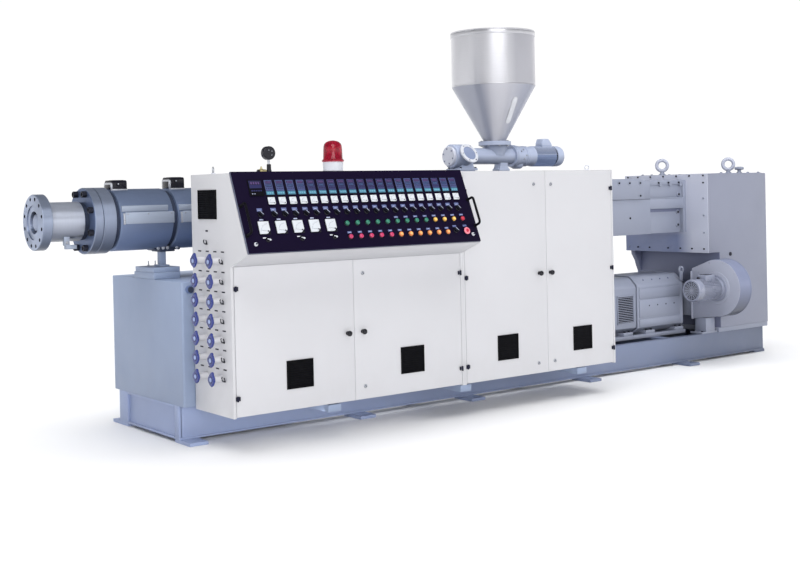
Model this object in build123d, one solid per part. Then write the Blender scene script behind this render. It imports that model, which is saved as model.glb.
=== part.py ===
from build123d import *
import os
import math

os.makedirs("parts", exist_ok=True)

# ---------------------------------------------------------------- driving dimensions (mm)
# Working axes: X runs along the machine from the die end to the drive end, Y runs from the
# operator's side to the rear, Z is up from the floor.  X = 0 is the left end of the console,
# Y = 0 the front plane of the cabinets.  Everything is shifted at the end by OX, OY so that
# the origin is the middle of the footprint on the floor.

# screw axis
YC = 787.0            # Y of the barrel and gear case axis
ZC = 1097.0           # height of the barrel axis

# base frame
BASE_X0, BASE_X1 = -60.0, 4596.0
BASE_Y0, BASE_Y1 = 442.0, 1132.0
PLATE_T = 16.0        # foot plates
BEAM_Z0, BEAM_Z1 = 16.0, 183.0
FLANGE_W, FLANGE_T, WEB_T = 88.0, 12.0, 9.0
FOOT_X = [-10.0, 1000.0, 1780.0, 2745.0, 3700.0]
FOOT_Y0, FOOT_Y1 = 330.0, 1220.0
FOOT_HOLE_R = 11.0
FOOT_HOLE_Y0, FOOT_HOLE_Y1 = 376.0, 1176.0

# cabinets
CAB_Z0, CAB_Z1 = 171.0, 1312.0
CAB_D = 375.0
WALL = 15.0           # folded sheet walls
CON_X0, CON_X1 = 0.0, 1400.0
RC_X0, RC_X1 = 1400.0, 2571.0
DESK_Z = 876.0        # top of the lower front of the console
LIP_Y, LIP_Z = -154.0, 936.0      # lower lip of the desk
TOP_Y = 2.0           # front edge of the console top
PANEL_D0, PANEL_D1 = 6.0, 20.0    # back and front of the panel, out of the slope of the desk
DOOR_T = 20.0
GAP = 5.5             # gap round each door
SET_BACK = 26.0       # floors and the right top start behind the doors, which lie over them

# support box
SB_X0, SB_X1 = -60.0, 640.0
SB_Y0, SB_Y1 = 382.0, 1192.0
SB_Z1 = 792.0

# barrel
DIE_X = -636.0
DIE_R, DIE_T = 136.5, 49.0
DIE_PCD, DIE_N, DIE_HOLE = 232.0, 12, 18.5
DIE_BORE = 109.0
DIE_RING = 168.0      # register round the bore
CORE_R, CORE_IN = 49.0, 8.0       # core in the bore and how far it lies behind the face
NECK_R = 97.0
FLG_X0, FLG_XM, FLG_X1, FLG_R = -388.0, -342.0, -275.0, 165.0
JACK_R = 156.0
BARREL_R = 120.0
BARREL_X1 = 2560.0
JACKETS = [(-254.0, 35.0), (58.0, 400.0), (440.0, 760.0), (800.0, 1120.0), (1160.0, 1480.0), (1520.0, 1840.0)]

# feeder and hopper
HOP_X = 2352.0
HOP_R, HOP_T = 263.0, 5.0
HOP_Z1, HOP_ZC, HOP_Z0 = 2190.0, 1858.0, 1514.0
HOP_RB = 69.0
FEED_Z = 1420.0
TUBE_R, HOUS_R = 51.0, 73.0

# gearbox
GB_X0, GB_X1 = 3965.0, 4619.0
GB_XL = 4085.0
GB_Y0, GB_Y1 = 411.0, 1163.0
GB_Z0, GB_ZM, GB_Z1 = 216.0, 740.0, 1288.0
GC_X0 = 2560.0
GC_Y0, GC_Y1 = 600.0, 974.0
GC_Z0, GC_Z1 = 884.0, 1250.0

# main motor
MOT_X0, MOT_XS, MOT_X1 = 3000.0, 3430.0, 3902.0
MOT_Y, MOT_Z = 787.0, 408.0
MOT_H = 200.0         # half height and half width of the frame

# blower
BL_X0, BL_X1 = 3950.0, 4078.0
BL_Y, BL_Z, BL_R = 340.0, 503.0, 196.0
BM_X0, BM_R = 3683.0, 69.0

# panel handles: distance up the slope of their ends and reach out of the panel
HAN_S0, HAN_S1, HAN_OUT = 80.0, 238.0, 52.0
HAN_X = [12.0, 1374.0]

# extremes of the whole machine, which place the origin
SLOPE = math.hypot(TOP_Y - LIP_Y, CAB_Z1 - LIP_Z)
UY, UZ = (TOP_Y - LIP_Y) / SLOPE, (CAB_Z1 - LIP_Z) / SLOPE
NY, NZ = -UZ, UY
X_MIN, X_MAX = DIE_X, 4640.0
Y_MIN = LIP_Y + UY * HAN_S0 + NY * (PANEL_D1 + HAN_OUT)
Y_MAX = FOOT_Y1
OX, OY = (X_MIN + X_MAX) / 2.0, (Y_MIN + Y_MAX) / 2.0


# ---------------------------------------------------------------- helpers
def bx(x0, x1, y0, y1, z0, z1):
    return Pos((x0 + x1) / 2, (y0 + y1) / 2, (z0 + z1) / 2) * Box(x1 - x0, y1 - y0, z1 - z0)


def cyx(x0, x1, y, z, r):
    return Pos((x0 + x1) / 2, y, z) * Rot(0, 90, 0) * Cylinder(r, x1 - x0)


def cyy(y0, y1, x, z, r):
    return Pos(x, (y0 + y1) / 2, z) * Rot(90, 0, 0) * Cylinder(r, y1 - y0)


def cyz(z0, z1, x, y, r):
    return Pos(x, y, (z0 + z1) / 2) * Cylinder(r, z1 - z0)


def cone_z(z0, z1, x, y, r0, r1):
    return Pos(x, y, (z0 + z1) / 2) * Cone(r0, r1, z1 - z0)


def cham_x(x0, x1, y, z, r, c):
    """Round bar along X with both rims chamfered."""
    s = cyx(x0, x1, y, z, r)
    return chamfer(s.edges().filter_by(GeomType.CIRCLE), c)


def rbox(x0, x1, y0, y1, z0, z1, r):
    """Block with its upright edges rounded."""
    s = bx(x0, x1, y0, y1, z0, z1)
    return fillet(s.edges().filter_by(Axis.Z), r)


def yz(points, x0, x1):
    """Prism with an outline given as (Y, Z) points, from x0 to x1."""
    face = make_face(Polyline([(x0, y, z) for y, z in points], close=True))
    return extrude(face, amount=x1 - x0, dir=(1, 0, 0))


def xz(points, y0, y1):
    """Prism with an outline given as (X, Z) points, from y0 to y1."""
    face = make_face(Polyline([(x, y0, z) for x, z in points], close=True))
    return extrude(face, amount=y1 - y0, dir=(0, 1, 0))


def ring_x(x0, x1, r_out, r_in, y=YC, z=ZC):
    return cyx(x0, x1, y, z, r_out) - cyx(x0 - 1, x1 + 1, y, z, r_in)


def on_panel(s, d):
    """(Y, Z) of a point s up the slope of the desk from its lip and d out of it."""
    return (LIP_Y + UY * s + NY * d, LIP_Z + UZ * s + NZ * d)


def save(name, *shapes):
    solids = []
    for s in shapes:
        solids += list(s.solids())
    moved = [Pos(-OX, -OY, 0) * s for s in solids]
    shape = moved[0] if len(moved) == 1 else Compound(children=moved)
    export_step(shape, "parts/" + name + ".step")


# ---------------------------------------------------------------- base frame
def channel(y_web, y_tip):
    """Long channel with its web on the outside, and closing plates at its ends."""
    w = WEB_T if y_tip > y_web else -WEB_T
    lo, hi = min(y_web, y_tip), max(y_web, y_tip)
    s = bx(BASE_X0, BASE_X1, lo, hi, BEAM_Z0, BEAM_Z0 + FLANGE_T)
    s += bx(BASE_X0, BASE_X1, lo, hi, BEAM_Z1 - FLANGE_T, BEAM_Z1)
    s += bx(BASE_X0, BASE_X1, min(y_web, y_web + w), max(y_web, y_web + w), BEAM_Z0, BEAM_Z1)
    s += bx(BASE_X0, BASE_X0 + 10, lo, hi, BEAM_Z0, BEAM_Z1)
    s += bx(BASE_X1 - 10, BASE_X1, lo, hi, BEAM_Z0, BEAM_Z1)
    return s


FRONT_TIP, REAR_TIP = BASE_Y0 + 46, BASE_Y1 - 100
save("base_beams", channel(BASE_Y0, FRONT_TIP), channel(BASE_Y1, REAR_TIP))

cross = []
CROSS_X = [BASE_X0, 560.0, 1380.0, 2200.0, 2960.0, 3560.0, BASE_X1 - 70.0]
for i, x in enumerate(CROSS_X):
    c = bx(x, x + 70, FRONT_TIP, REAR_TIP, BEAM_Z0, BEAM_Z1)
    if i == 0:
        c -= bx(x - 1, x + 30, FRONT_TIP - 1, REAR_TIP + 1, BEAM_Z0 + 11, BEAM_Z1 - 11)
        c -= bx(x + 39, x + 71, FRONT_TIP - 1, REAR_TIP + 1, BEAM_Z0 + 11, BEAM_Z1 - 11)
    elif i == len(CROSS_X) - 1:
        c -= bx(x + 9, x + 71, FRONT_TIP - 1, REAR_TIP + 1, BEAM_Z0 + 11, BEAM_Z1 - 11)
    else:
        c -= bx(x - 1, x + 61, FRONT_TIP - 1, REAR_TIP + 1, BEAM_Z0 + 11, BEAM_Z1 - 11)
    cross.append(c)
save("base_cross_members", *cross)

feet = []
for x in FOOT_X:
    feet.append(bx(x - 50, x + 50, FOOT_Y0, FRONT_TIP, 0, PLATE_T) - cyz(-1, PLATE_T + 1, x, FOOT_HOLE_Y0, FOOT_HOLE_R))
    feet.append(bx(x - 50, x + 50, REAR_TIP, FOOT_Y1, 0, PLATE_T) - cyz(-1, PLATE_T + 1, x, FOOT_HOLE_Y1, FOOT_HOLE_R))
feet.append(bx(BASE_X1 - 100, BASE_X1 + 14, BASE_Y0, FRONT_TIP, 0, PLATE_T))
feet.append(bx(BASE_X1 - 100, BASE_X1 + 14, REAR_TIP, BASE_Y1, 0, PLATE_T))
save("foot_plates", *feet)

ARM_X = [566.0, 1411.0, 2290.0]
save("cabinet_outriggers", *[bx(x - 38, x + 38, 4, BASE_Y0, CAB_Z0 - 36, CAB_Z0) for x in ARM_X])

# ---------------------------------------------------------------- support box and barrel stand
save("support_box", rbox(SB_X0, SB_X1, SB_Y0, SB_Y1, BEAM_Z1, SB_Z1, 12))
save("support_block", bx(SB_X0, 86, YC - 110, YC + 126, SB_Z1, 826) + bx(SB_X0, 86, YC - 106, YC + 110, 826, 852))
post = bx(20, 54, YC - 16, YC + 16, 852, 930) + bx(4, 88, YC - 48, YC + 48, 926, 965)
post -= cyx(0, 100, YC, ZC, JACK_R)
save("barrel_post", post)

# ---------------------------------------------------------------- barrel
die = cham_x(DIE_X, DIE_X + DIE_T, YC, ZC, DIE_R, 2.5)
die -= cyx(DIE_X - 1, DIE_X + DIE_T + 1, YC, ZC, DIE_BORE / 2)
die -= cyx(DIE_X - 1, DIE_X + 5, YC, ZC, DIE_RING / 2)
for k in range(DIE_N):
    a = math.radians(15 + 360.0 * k / DIE_N)
    die -= cyx(DIE_X - 1, DIE_X + DIE_T + 1, YC + DIE_PCD / 2 * math.cos(a), ZC + DIE_PCD / 2 * math.sin(a), DIE_HOLE / 2)
save("die_flange", die)
save("die_neck", cyx(DIE_X + DIE_T, FLG_X0, YC, ZC, NECK_R) + cham_x(DIE_X + CORE_IN, FLG_X0 - 60, YC, ZC, CORE_R, 5))
save("barrel_flange", cham_x(FLG_X0, FLG_XM - 1.5, YC, ZC, FLG_R, 4) + cyx(FLG_XM - 2, FLG_XM + 2, YC, ZC, FLG_R - 5)
     + cham_x(FLG_XM + 1.5, FLG_X1, YC, ZC, FLG_R, 4))
core = cyx(FLG_X1, BARREL_X1, YC, ZC, BARREL_R) + cyx(FLG_X1, JACKETS[0][0], YC, ZC, JACK_R - 9)
core += cyx(JACKETS[0][1], JACKETS[1][0], YC, ZC, JACK_R - 12)
save("barrel", core)
save("heater_jackets", *[ring_x(a, b, JACK_R, BARREL_R) for a, b in JACKETS])
boxes = []
for xc, z1 in ((-206.0, 1298.0), (113.0, 1310.0), (600.0, 1304.0), (960.0, 1304.0), (1320.0, 1304.0), (1680.0, 1304.0)):
    x0 = xc - 46
    boxes.append(bx(x0, x0 + 92, YC - 45, YC + 45, 1225, z1) - cyx(x0 - 1, x0 + 93, YC, ZC, JACK_R))
save("heater_terminal_boxes", *boxes)
throat = bx(1900, 2260, YC - 180, YC + 180, 917, 1277) - cyx(1899, 2261, YC, ZC, BARREL_R)
save("feed_throat", throat)

# ---------------------------------------------------------------- console and cabinet shells
WI = WALL
ci0, ci1 = CON_X0 + WI, CON_X1 - WI
ri0, ri1 = RC_X0 + WI, RC_X1 - WI
save("cabinet_walls", bx(CON_X0, ci0, 0, CAB_D, CAB_Z0, DESK_Z), bx(ci1, ri0, 0, CAB_D, CAB_Z0, DESK_Z),
     bx(ri1, RC_X1, 0, CAB_D, CAB_Z0, CAB_Z1))
desk_pts = [(CAB_D, DESK_Z), (CAB_D, CAB_Z1), (TOP_Y, CAB_Z1), (LIP_Y, LIP_Z), (0, DESK_Z)]
save("desk_ends", yz(desk_pts, CON_X0, ci0), yz(desk_pts, ci1, CON_X1))
save("cabinet_partition", bx(CON_X1, ri0, 0, CAB_D, DESK_Z, CAB_Z1))
save("cabinet_backs", bx(ci0, ci1, CAB_D - WI, CAB_D, CAB_Z0, CAB_Z1), bx(ri0, ri1, CAB_D - WI, CAB_D, CAB_Z0, CAB_Z1))
save("cabinet_floors", bx(ci0, ci1, SET_BACK, CAB_D - WI, CAB_Z0, CAB_Z0 + WI), bx(ri0, ri1, SET_BACK, CAB_D - WI, CAB_Z0, CAB_Z0 + WI))
save("cabinet_tops", bx(ci0, ci1, 6, CAB_D - WI, CAB_Z1 - WI, CAB_Z1), bx(ri0, ri1, SET_BACK, CAB_D - WI, CAB_Z1 - WI, CAB_Z1))

# underside of the desk with the head rail over the doors
save("desk_underside", yz([(0, DESK_Z), (LIP_Y, LIP_Z), on_panel(14, 0), on_panel(8, -16), (24, DESK_Z + 14), (24, DESK_Z)], ci0, ci1))

# control panel, hung on its top edge, lying over the sloping front of the desk
panel = yz([on_panel(0, PANEL_D0), on_panel(SLOPE, PANEL_D0), on_panel(SLOPE, PANEL_D1), on_panel(0, PANEL_D1)], CON_X0, CON_X1 - 14)
save("control_panel", panel)
handles = []
for x in HAN_X:
    p0, p1, d0, d1 = HAN_S0, HAN_S1, PANEL_D1, PANEL_D1 + HAN_OUT
    bar = yz([on_panel(p0, d1 - 12), on_panel(p1, d1 - 12), on_panel(p1, d1), on_panel(p0, d1)], x - 6, x + 6)
    bar += yz([on_panel(p0, d0), on_panel(p0 + 12, d0), on_panel(p0 + 12, d1), on_panel(p0, d1)], x - 6, x + 6)
    bar += yz([on_panel(p1 - 12, d0), on_panel(p1, d0), on_panel(p1, d1), on_panel(p1 - 12, d1)], x - 6, x + 6)
    handles.append(bar)
save("panel_handles", *handles)

# ---------------------------------------------------------------- doors
D_Z0 = CAB_Z0 + 6
# left, right, top, centre of the vent, knob X, knob Z
DOORS = {
    "door_1": (ci0 + GAP, 687.0, DESK_Z - GAP, 366.0, 648.0, 514.0),
    "door_2": (692.5, ci1 - GAP, DESK_Z - GAP, 1051.0, 739.0, 516.0),
    "door_3": (ri0 + GAP, 2018.0, CAB_Z1 - 2, 1715.0, 1960.0, 736.0),
    "door_4": (2023.5, ri1 - GAP, CAB_Z1 - 2, 2296.0, 2046.0, 736.0),
}
LOCKS = {"door_1": [], "door_2": [(747.0, 807.0), (750.0, 241.0)],
         "door_3": [(1931.0, 1236.0), (1946.0, 233.0)], "door_4": [(2063.0, 1234.0), (2071.0, 234.0)]}
for n, (x0, x1, z1, vx, kx, kz) in DOORS.items():
    save(n, bx(x0, x1, 0, DOOR_T, D_Z0, z1))
    fittings = [bx(vx - 75, vx + 75, -5, 0, 268, 413), cyy(-16, 0, kx, kz, 7) + cyy(-34, -16, kx, kz, 15)]
    for lx, lz in LOCKS[n]:
        fittings.append(cyy(-6, 0, lx, lz, 9))
    save(n + "_fittings", *fittings)

# ---------------------------------------------------------------- fittings on the console
sockets = []
for r in range(7):
    for y in (258.0, 107.0):
        z = 901.0 - 92.0 * r
        sockets.append(cyx(-46, 0, y, z, 25) + cyx(-62, -46, y, z, 34))
save("wing_sockets", *sockets)
save("pressure_gauge", cyz(CAB_Z1, 1382, 277, 100, 10) + cyy(84, 116, 275, 1409, 33))
save("beacon_base", cyz(CAB_Z1, 1370, 712, 190, 52))
save("beacon_lamp", cyz(1370, 1380, 712, 190, 57) + cyz(1380, 1478, 712, 190, 51))

# ---------------------------------------------------------------- hopper and feeder
cyl = cyz(HOP_ZC, HOP_Z1, HOP_X, YC, HOP_R) - cyz(HOP_ZC - 1, HOP_Z1 + 1, HOP_X, YC, HOP_R - HOP_T)
save("hopper_cylinder", cyl)
save("hopper_cone", cone_z(HOP_Z0, HOP_ZC, HOP_X, YC, HOP_RB, HOP_R) - cone_z(HOP_Z0, HOP_ZC, HOP_X, YC, HOP_RB - HOP_T, HOP_R - HOP_T))
save("hopper_lid", cyz(HOP_Z1, HOP_Z1 + 8, HOP_X, YC, HOP_R + 4))
fi = cyz(1487, HOP_Z0, HOP_X, YC, 103) + cone_z(FEED_Z, 1487, HOP_X, YC, 58, 86)
fi -= cyz(FEED_Z - 1, HOP_Z0 + 1, HOP_X, YC, HOP_RB - HOP_T) & cone_z(FEED_Z - 1, HOP_Z0 + 1, HOP_X, YC, 46, 84)
fi -= cyx(HOP_X - 120, HOP_X + 120, YC, FEED_Z, TUBE_R)
save("feeder_inlet", fi)
save("feeder_tube", cyx(2100, 2490, YC, FEED_Z, TUBE_R) + cham_x(1986, 2100, YC, FEED_Z, HOUS_R, 6) + cyx(1968, 1986, YC, FEED_Z, 58))
# outlet with a flared foot on the feed throat, and a flared support foot under the tube
outlet = bx(2036, 2127, YC - 50, YC + 50, 1345, FEED_Z) + bx(2005, 2149, YC - 66, YC + 66, 1331, 1345)
outlet += xz([(2018, 1345), (2140, 1345), (2130, 1362), (2034, 1362)], YC - 58, YC + 58)
outlet -= cyx(1980, 2100, YC, FEED_Z, HOUS_R)
outlet -= cyx(2100, 2260, YC, FEED_Z, TUBE_R)
outlet += bx(2020, 2136, YC - 58, YC + 58, 1277, 1331)
stand = bx(2357, 2447, YC - 33, YC + 33, 1328, 1342) + xz([(2360, 1342), (2444, 1342), (2433, 1366), (2371, 1366)], YC - 31, YC + 31)
stand += bx(2371, 2433, YC - 29, YC + 29, 1366, FEED_Z)
stand -= cyx(2300, 2500, YC, FEED_Z, TUBE_R)
stand += bx(2366, 2438, YC - 30, YC + 30, 1180, 1328)
stand -= cyx(2330, 2480, YC, ZC, BARREL_R)
save("feeder_supports", outlet, stand)
# sight port: a ring whose face looks forwards and up, on a short neck
PORT = Vector(2060, 690, 1437)
PORT_N = Vector(0.05, -0.87, 0.49).normalized()
pl = Plane(origin=PORT, z_dir=PORT_N)
port = pl * Cylinder(66, 12, align=(Align.CENTER, Align.CENTER, Align.MAX)) + pl * Pos(0, 0, -12) * Cylinder(54, 60, align=(Align.CENTER, Align.CENTER, Align.MAX))
port -= cyx(1960, 2100, YC, FEED_Z, HOUS_R + 0.2)
port -= cyx(2100, 2300, YC, FEED_Z, TUBE_R + 0.2)
port -= bx(1900, 2300, YC - 110, YC + 110, 1270, 1362.5)
port -= bx(2035, 2128, YC - 51, YC + 51, 1345, FEED_Z)
save("feeder_sight_port", *sorted(port.solids(), key=lambda s: -s.volume)[:1])
save("feeder_gearbox", cham_x(2490, 2532, YC, FEED_Z, 72, 6) + cyx(2532, 2592, YC, FEED_Z, 66) + cyz(1340, FEED_Z, 2536, YC, 45))
TERM_PTS = [(2733, FEED_Z), (2824, FEED_Z), (2824, 1500), (2796, 1534), (2746, 1534), (2733, 1500)]
save("feeder_motor", cyx(2592, 2660, YC, FEED_Z, 66) + cham_x(2660, 2918, YC, FEED_Z, 67, 8) + xz(TERM_PTS, YC - 34, YC + 34))

# ---------------------------------------------------------------- gear case and transfer gearbox
case = bx(GC_X0, GB_X0, GC_Y0, GC_Y1, GC_Z0, GC_Z1)
for y0, y1 in ((GC_Y0 - 1, GC_Y0 + 60), (GC_Y1 - 60, GC_Y1 + 1)):
    case -= bx(3592, 3935, y0, y1, GC_Z0 - 1, 1053)
    case -= bx(3592, 3935, y0, y1, 1127, 1217)
case += bx(2900, 3517, GC_Y0 - 12, GC_Y1 + 12, 1122, GC_Z1 + 8)
save("gear_case", case)
save("gearbox_case", bx(GB_X0 + 20, GB_X1, GB_Y0, GB_Y1, GB_ZM, GB_Z1) + bx(GB_XL, GB_X1, GB_Y0, GB_Y1, GB_Z0, GB_ZM))
save("gearbox_face_plate", bx(GB_X0, GB_X0 + 20, GB_Y0, GB_Y1, GB_ZM, GB_Z1))
save("gearbox_gusset", xz([(GB_XL, GB_ZM), (GB_X0 + 10, GB_ZM), (GB_XL, 560)], GB_Y1 - 40, GB_Y1))
save("gearbox_foot", bx(GB_XL, X_MAX, GB_Y0 + 20, GB_Y1 - 20, BEAM_Z1, GB_Z0))


def eye(x, y, z):
    ring = Pos(x, y, z + 70) * Rot(0, 0, -45) * Rot(90, 0, 0) * Torus(38, 13)
    return ring + cyz(z, z + 40, x, y, 15) + cyz(z, z + 14, x, y, 26)


# flat lug on the upper front corner of the motor
LUG_X, LUG_Z = 3889.0, 624.0
LUG_Y0, LUG_Y1 = MOT_Y - MOT_H, MOT_Y - MOT_H + 12
LUG_ZB = MOT_Z + 0.68 * MOT_H
lug = bx(LUG_X - 13, LUG_X + 13, LUG_Y0, LUG_Y1, LUG_ZB, LUG_Z) + cyy(LUG_Y0, LUG_Y1, LUG_X, LUG_Z, 26)
lug -= cyy(LUG_Y0 - 1, LUG_Y1 + 1, LUG_X, LUG_Z, 13)
lug -= yz([(LUG_Y0 - 1, LUG_ZB - 1), (LUG_Y1 + 1, LUG_ZB + 13), (LUG_Y1 + 1, LUG_ZB - 1)], LUG_X - 30, LUG_X + 30)
save("lifting_eyes", eye(4090, 915, GB_Z1), eye(4490, 637, GB_Z1), lug)

# ---------------------------------------------------------------- main motor
c = 0.32 * MOT_H
oct_pts = [(MOT_Y - MOT_H, MOT_Z - MOT_H + 40), (MOT_Y - MOT_H + c, MOT_Z - MOT_H), (MOT_Y + MOT_H - c, MOT_Z - MOT_H), (MOT_Y + MOT_H, MOT_Z - MOT_H + 40),
           (MOT_Y + MOT_H, MOT_Z + MOT_H - c), (MOT_Y + MOT_H - c, MOT_Z + MOT_H), (MOT_Y - MOT_H + c, MOT_Z + MOT_H), (MOT_Y - MOT_H, MOT_Z + MOT_H - c)]
save("motor_frame", yz(oct_pts, MOT_XS, MOT_X1))
e = 12.0
end_pts = [(MOT_Y + (y - MOT_Y) * (MOT_H - e) / MOT_H, MOT_Z + (z - MOT_Z) * (MOT_H - e) / MOT_H) for y, z in oct_pts]
save("motor_end_housing", yz(end_pts, MOT_X0, MOT_XS))
save("motor_rails", bx(MOT_X0 + 40, 3920, 590, 680, BEAM_Z1, MOT_Z - MOT_H), bx(MOT_X0 + 40, 3920, 894, 984, BEAM_Z1, MOT_Z - MOT_H))
save("coupling_guard", cyx(MOT_X1, GB_XL, MOT_Y, MOT_Z, 130))

# ---------------------------------------------------------------- blower
scroll = cham_x(BL_X0, BL_X1, BL_Y, BL_Z, BL_R, 5) + bx(BL_X0, BL_X1, BL_Y + 40, 545, 276, 630)
scroll += bx(BL_X0 + 10, BL_X1 - 10, 545, 640, 300, 520)
scroll -= cyx(BL_X0 - 20, BL_X1 + 20, MOT_Y, MOT_Z, 131)
save("blower_scroll", scroll)
save("blower_motor", cham_x(BM_X0, BL_X0 - 14, BL_Y, BL_Z, BM_R, 6) + cyx(BL_X0 - 14, BL_X0, BL_Y, BL_Z, 92))
save("blower_bracket", bx(BL_X0 + 16, BL_X1 - 16, 446, 540, BEAM_Z1, 276) + bx(BL_X0 - 30, BL_X1 + 4, 442, 545, BEAM_Z1, 195))
print("OX, OY", OX, OY)
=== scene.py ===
import math
import random

import bmesh
import bpy
from mathutils import Matrix, Vector


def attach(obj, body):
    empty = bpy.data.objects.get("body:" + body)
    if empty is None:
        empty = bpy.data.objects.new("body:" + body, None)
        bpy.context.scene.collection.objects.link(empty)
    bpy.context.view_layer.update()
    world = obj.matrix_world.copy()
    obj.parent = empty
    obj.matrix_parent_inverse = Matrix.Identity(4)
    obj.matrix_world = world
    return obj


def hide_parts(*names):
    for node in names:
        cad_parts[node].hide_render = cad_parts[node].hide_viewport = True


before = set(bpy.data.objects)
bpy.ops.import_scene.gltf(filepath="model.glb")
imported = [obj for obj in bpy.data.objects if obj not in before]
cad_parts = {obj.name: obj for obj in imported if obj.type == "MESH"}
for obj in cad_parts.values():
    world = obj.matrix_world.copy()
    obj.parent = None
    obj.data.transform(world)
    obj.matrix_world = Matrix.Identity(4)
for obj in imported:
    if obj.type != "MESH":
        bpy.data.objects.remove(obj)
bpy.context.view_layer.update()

random.seed(11)

# ------------------------------------------------------------------ working axes, millimetres
# The same working axes as the model: X = 0 at the left end of the console, Y = 0 at the front
# of the cabinets, Z up from the floor.  to_row() turns them into the row frame in metres.
LIP_Y, LIP_Z, TOP_Y, CAB_Z1, CAB_Z0, CAB_D = -154.0, 936.0, 2.0, 1312.0, 171.0, 375.0
SLOPE = math.hypot(TOP_Y - LIP_Y, CAB_Z1 - LIP_Z)
UY, UZ = (TOP_Y - LIP_Y) / SLOPE, (CAB_Z1 - LIP_Z) / SLOPE
NY, NZ = -UZ, UY
OX = (-636.0 + 4640.0) / 2.0
OY = (LIP_Y + UY * 80.0 + NY * 72.0 + 1220.0) / 2.0
YC, ZC = 787.0, 1097.0


def to_row():
    return Matrix.Scale(0.001, 4) @ Matrix.Translation((-OX, -OY, 0.0))


def frame_at(o, u, v, n):
    """Local axes (u, v, n) at point o, as a matrix."""
    return Matrix(((u[0], v[0], n[0], o[0]), (u[1], v[1], n[1], o[1]), (u[2], v[2], n[2], o[2]), (0, 0, 0, 1)))


PANEL = frame_at((0, LIP_Y, LIP_Z), (1, 0, 0), (0, UY, UZ), (0, NY, NZ))     # x, up the slope, out
FRONT = frame_at((0, 0, 0), (1, 0, 0), (0, 0, 1), (0, -1, 0))                # x, z, out of the doors
LEFT = frame_at((0, 0, 0), (0, 1, 0), (0, 0, 1), (-1, 0, 0))                 # y, z, out of the left end


# ------------------------------------------------------------------ materials
def lin(r, g, b):
    out = []
    for c in (r, g, b):
        c /= 255.0
        out.append(c / 12.92 if c <= 0.04045 else ((c + 0.055) / 1.055) ** 2.4)
    return tuple(out)


def shade(c, k):
    return tuple(min(1.0, x * k) for x in c) + (1.0,)


class Mat:
    """One procedural material: helpers to add nodes and link them."""

    def __init__(self, name):
        self.m = bpy.data.materials.new(name)
        self.m.use_nodes = True
        self.nt = self.m.node_tree
        self.b = next(n for n in self.nt.nodes if n.type == "BSDF_PRINCIPLED")
        self.co = self.nt.nodes.new("ShaderNodeTexCoord").outputs["Object"]

    def node(self, kind, **props):
        n = self.nt.nodes.new(kind)
        for k, v in props.items():
            setattr(n, k, v)
        return n

    def link(self, a, b):
        self.nt.links.new(a, b)

    def scaled(self, sx, sy, sz):
        n = self.node("ShaderNodeMapping")
        n.inputs["Scale"].default_value = (sx, sy, sz)
        self.link(self.co, n.inputs["Vector"])
        return n.outputs["Vector"]

    def noise(self, scale, detail=3.0, rough=0.5, vec=None):
        n = self.node("ShaderNodeTexNoise")
        n.inputs["Scale"].default_value = scale
        n.inputs["Detail"].default_value = detail
        n.inputs["Roughness"].default_value = rough
        self.link(vec if vec is not None else self.co, n.inputs["Vector"])
        return n.outputs["Fac"]

    def rng(self, val, a, b, c=0.0, d=1.0):
        n = self.node("ShaderNodeMapRange")
        n.inputs["From Min"].default_value = a
        n.inputs["From Max"].default_value = b
        n.inputs["To Min"].default_value = c
        n.inputs["To Max"].default_value = d
        self.link(val, n.inputs["Value"])
        return n.outputs["Result"]

    def math(self, op, a, b):
        n = self.node("ShaderNodeMath", operation=op)
        for i, v in enumerate((a, b)):
            if isinstance(v, (int, float)):
                n.inputs[i].default_value = v
            else:
                self.link(v, n.inputs[i])
        return n.outputs[0]

    def mix(self, fac, a, b):
        n = self.node("ShaderNodeMix", data_type="RGBA")
        self.link(fac, n.inputs["Factor"])
        for i, v in ((6, a), (7, b)):
            if isinstance(v, tuple):
                n.inputs[i].default_value = v
            else:
                self.link(v, n.inputs[i])
        return n.outputs[2]

    def xyz(self):
        n = self.node("ShaderNodeSeparateXYZ")
        self.link(self.co, n.inputs[0])
        return n.outputs

    def under(self, col, base, k, a=0.15, b=-0.85):
        """Painted shade: darkens the colour of faces that look down."""
        t = self.node("ShaderNodeTexCoord")
        n = self.node("ShaderNodeSeparateXYZ")
        self.link(t.outputs["Normal"], n.inputs[0])
        return self.mix(self.rng(n.outputs[2], a, b), col, shade(base, k))

    def bump(self, height, strength, dist):
        n = self.node("ShaderNodeBump")
        n.inputs["Strength"].default_value = strength
        n.inputs["Distance"].default_value = dist
        self.link(height, n.inputs["Height"])
        self.link(n.outputs["Normal"], self.b.inputs["Normal"])

    def put(self, name, v):
        s = self.b.inputs[name]
        if isinstance(v, (int, float, tuple)):
            s.default_value = v
        else:
            self.link(v, s)


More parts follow.
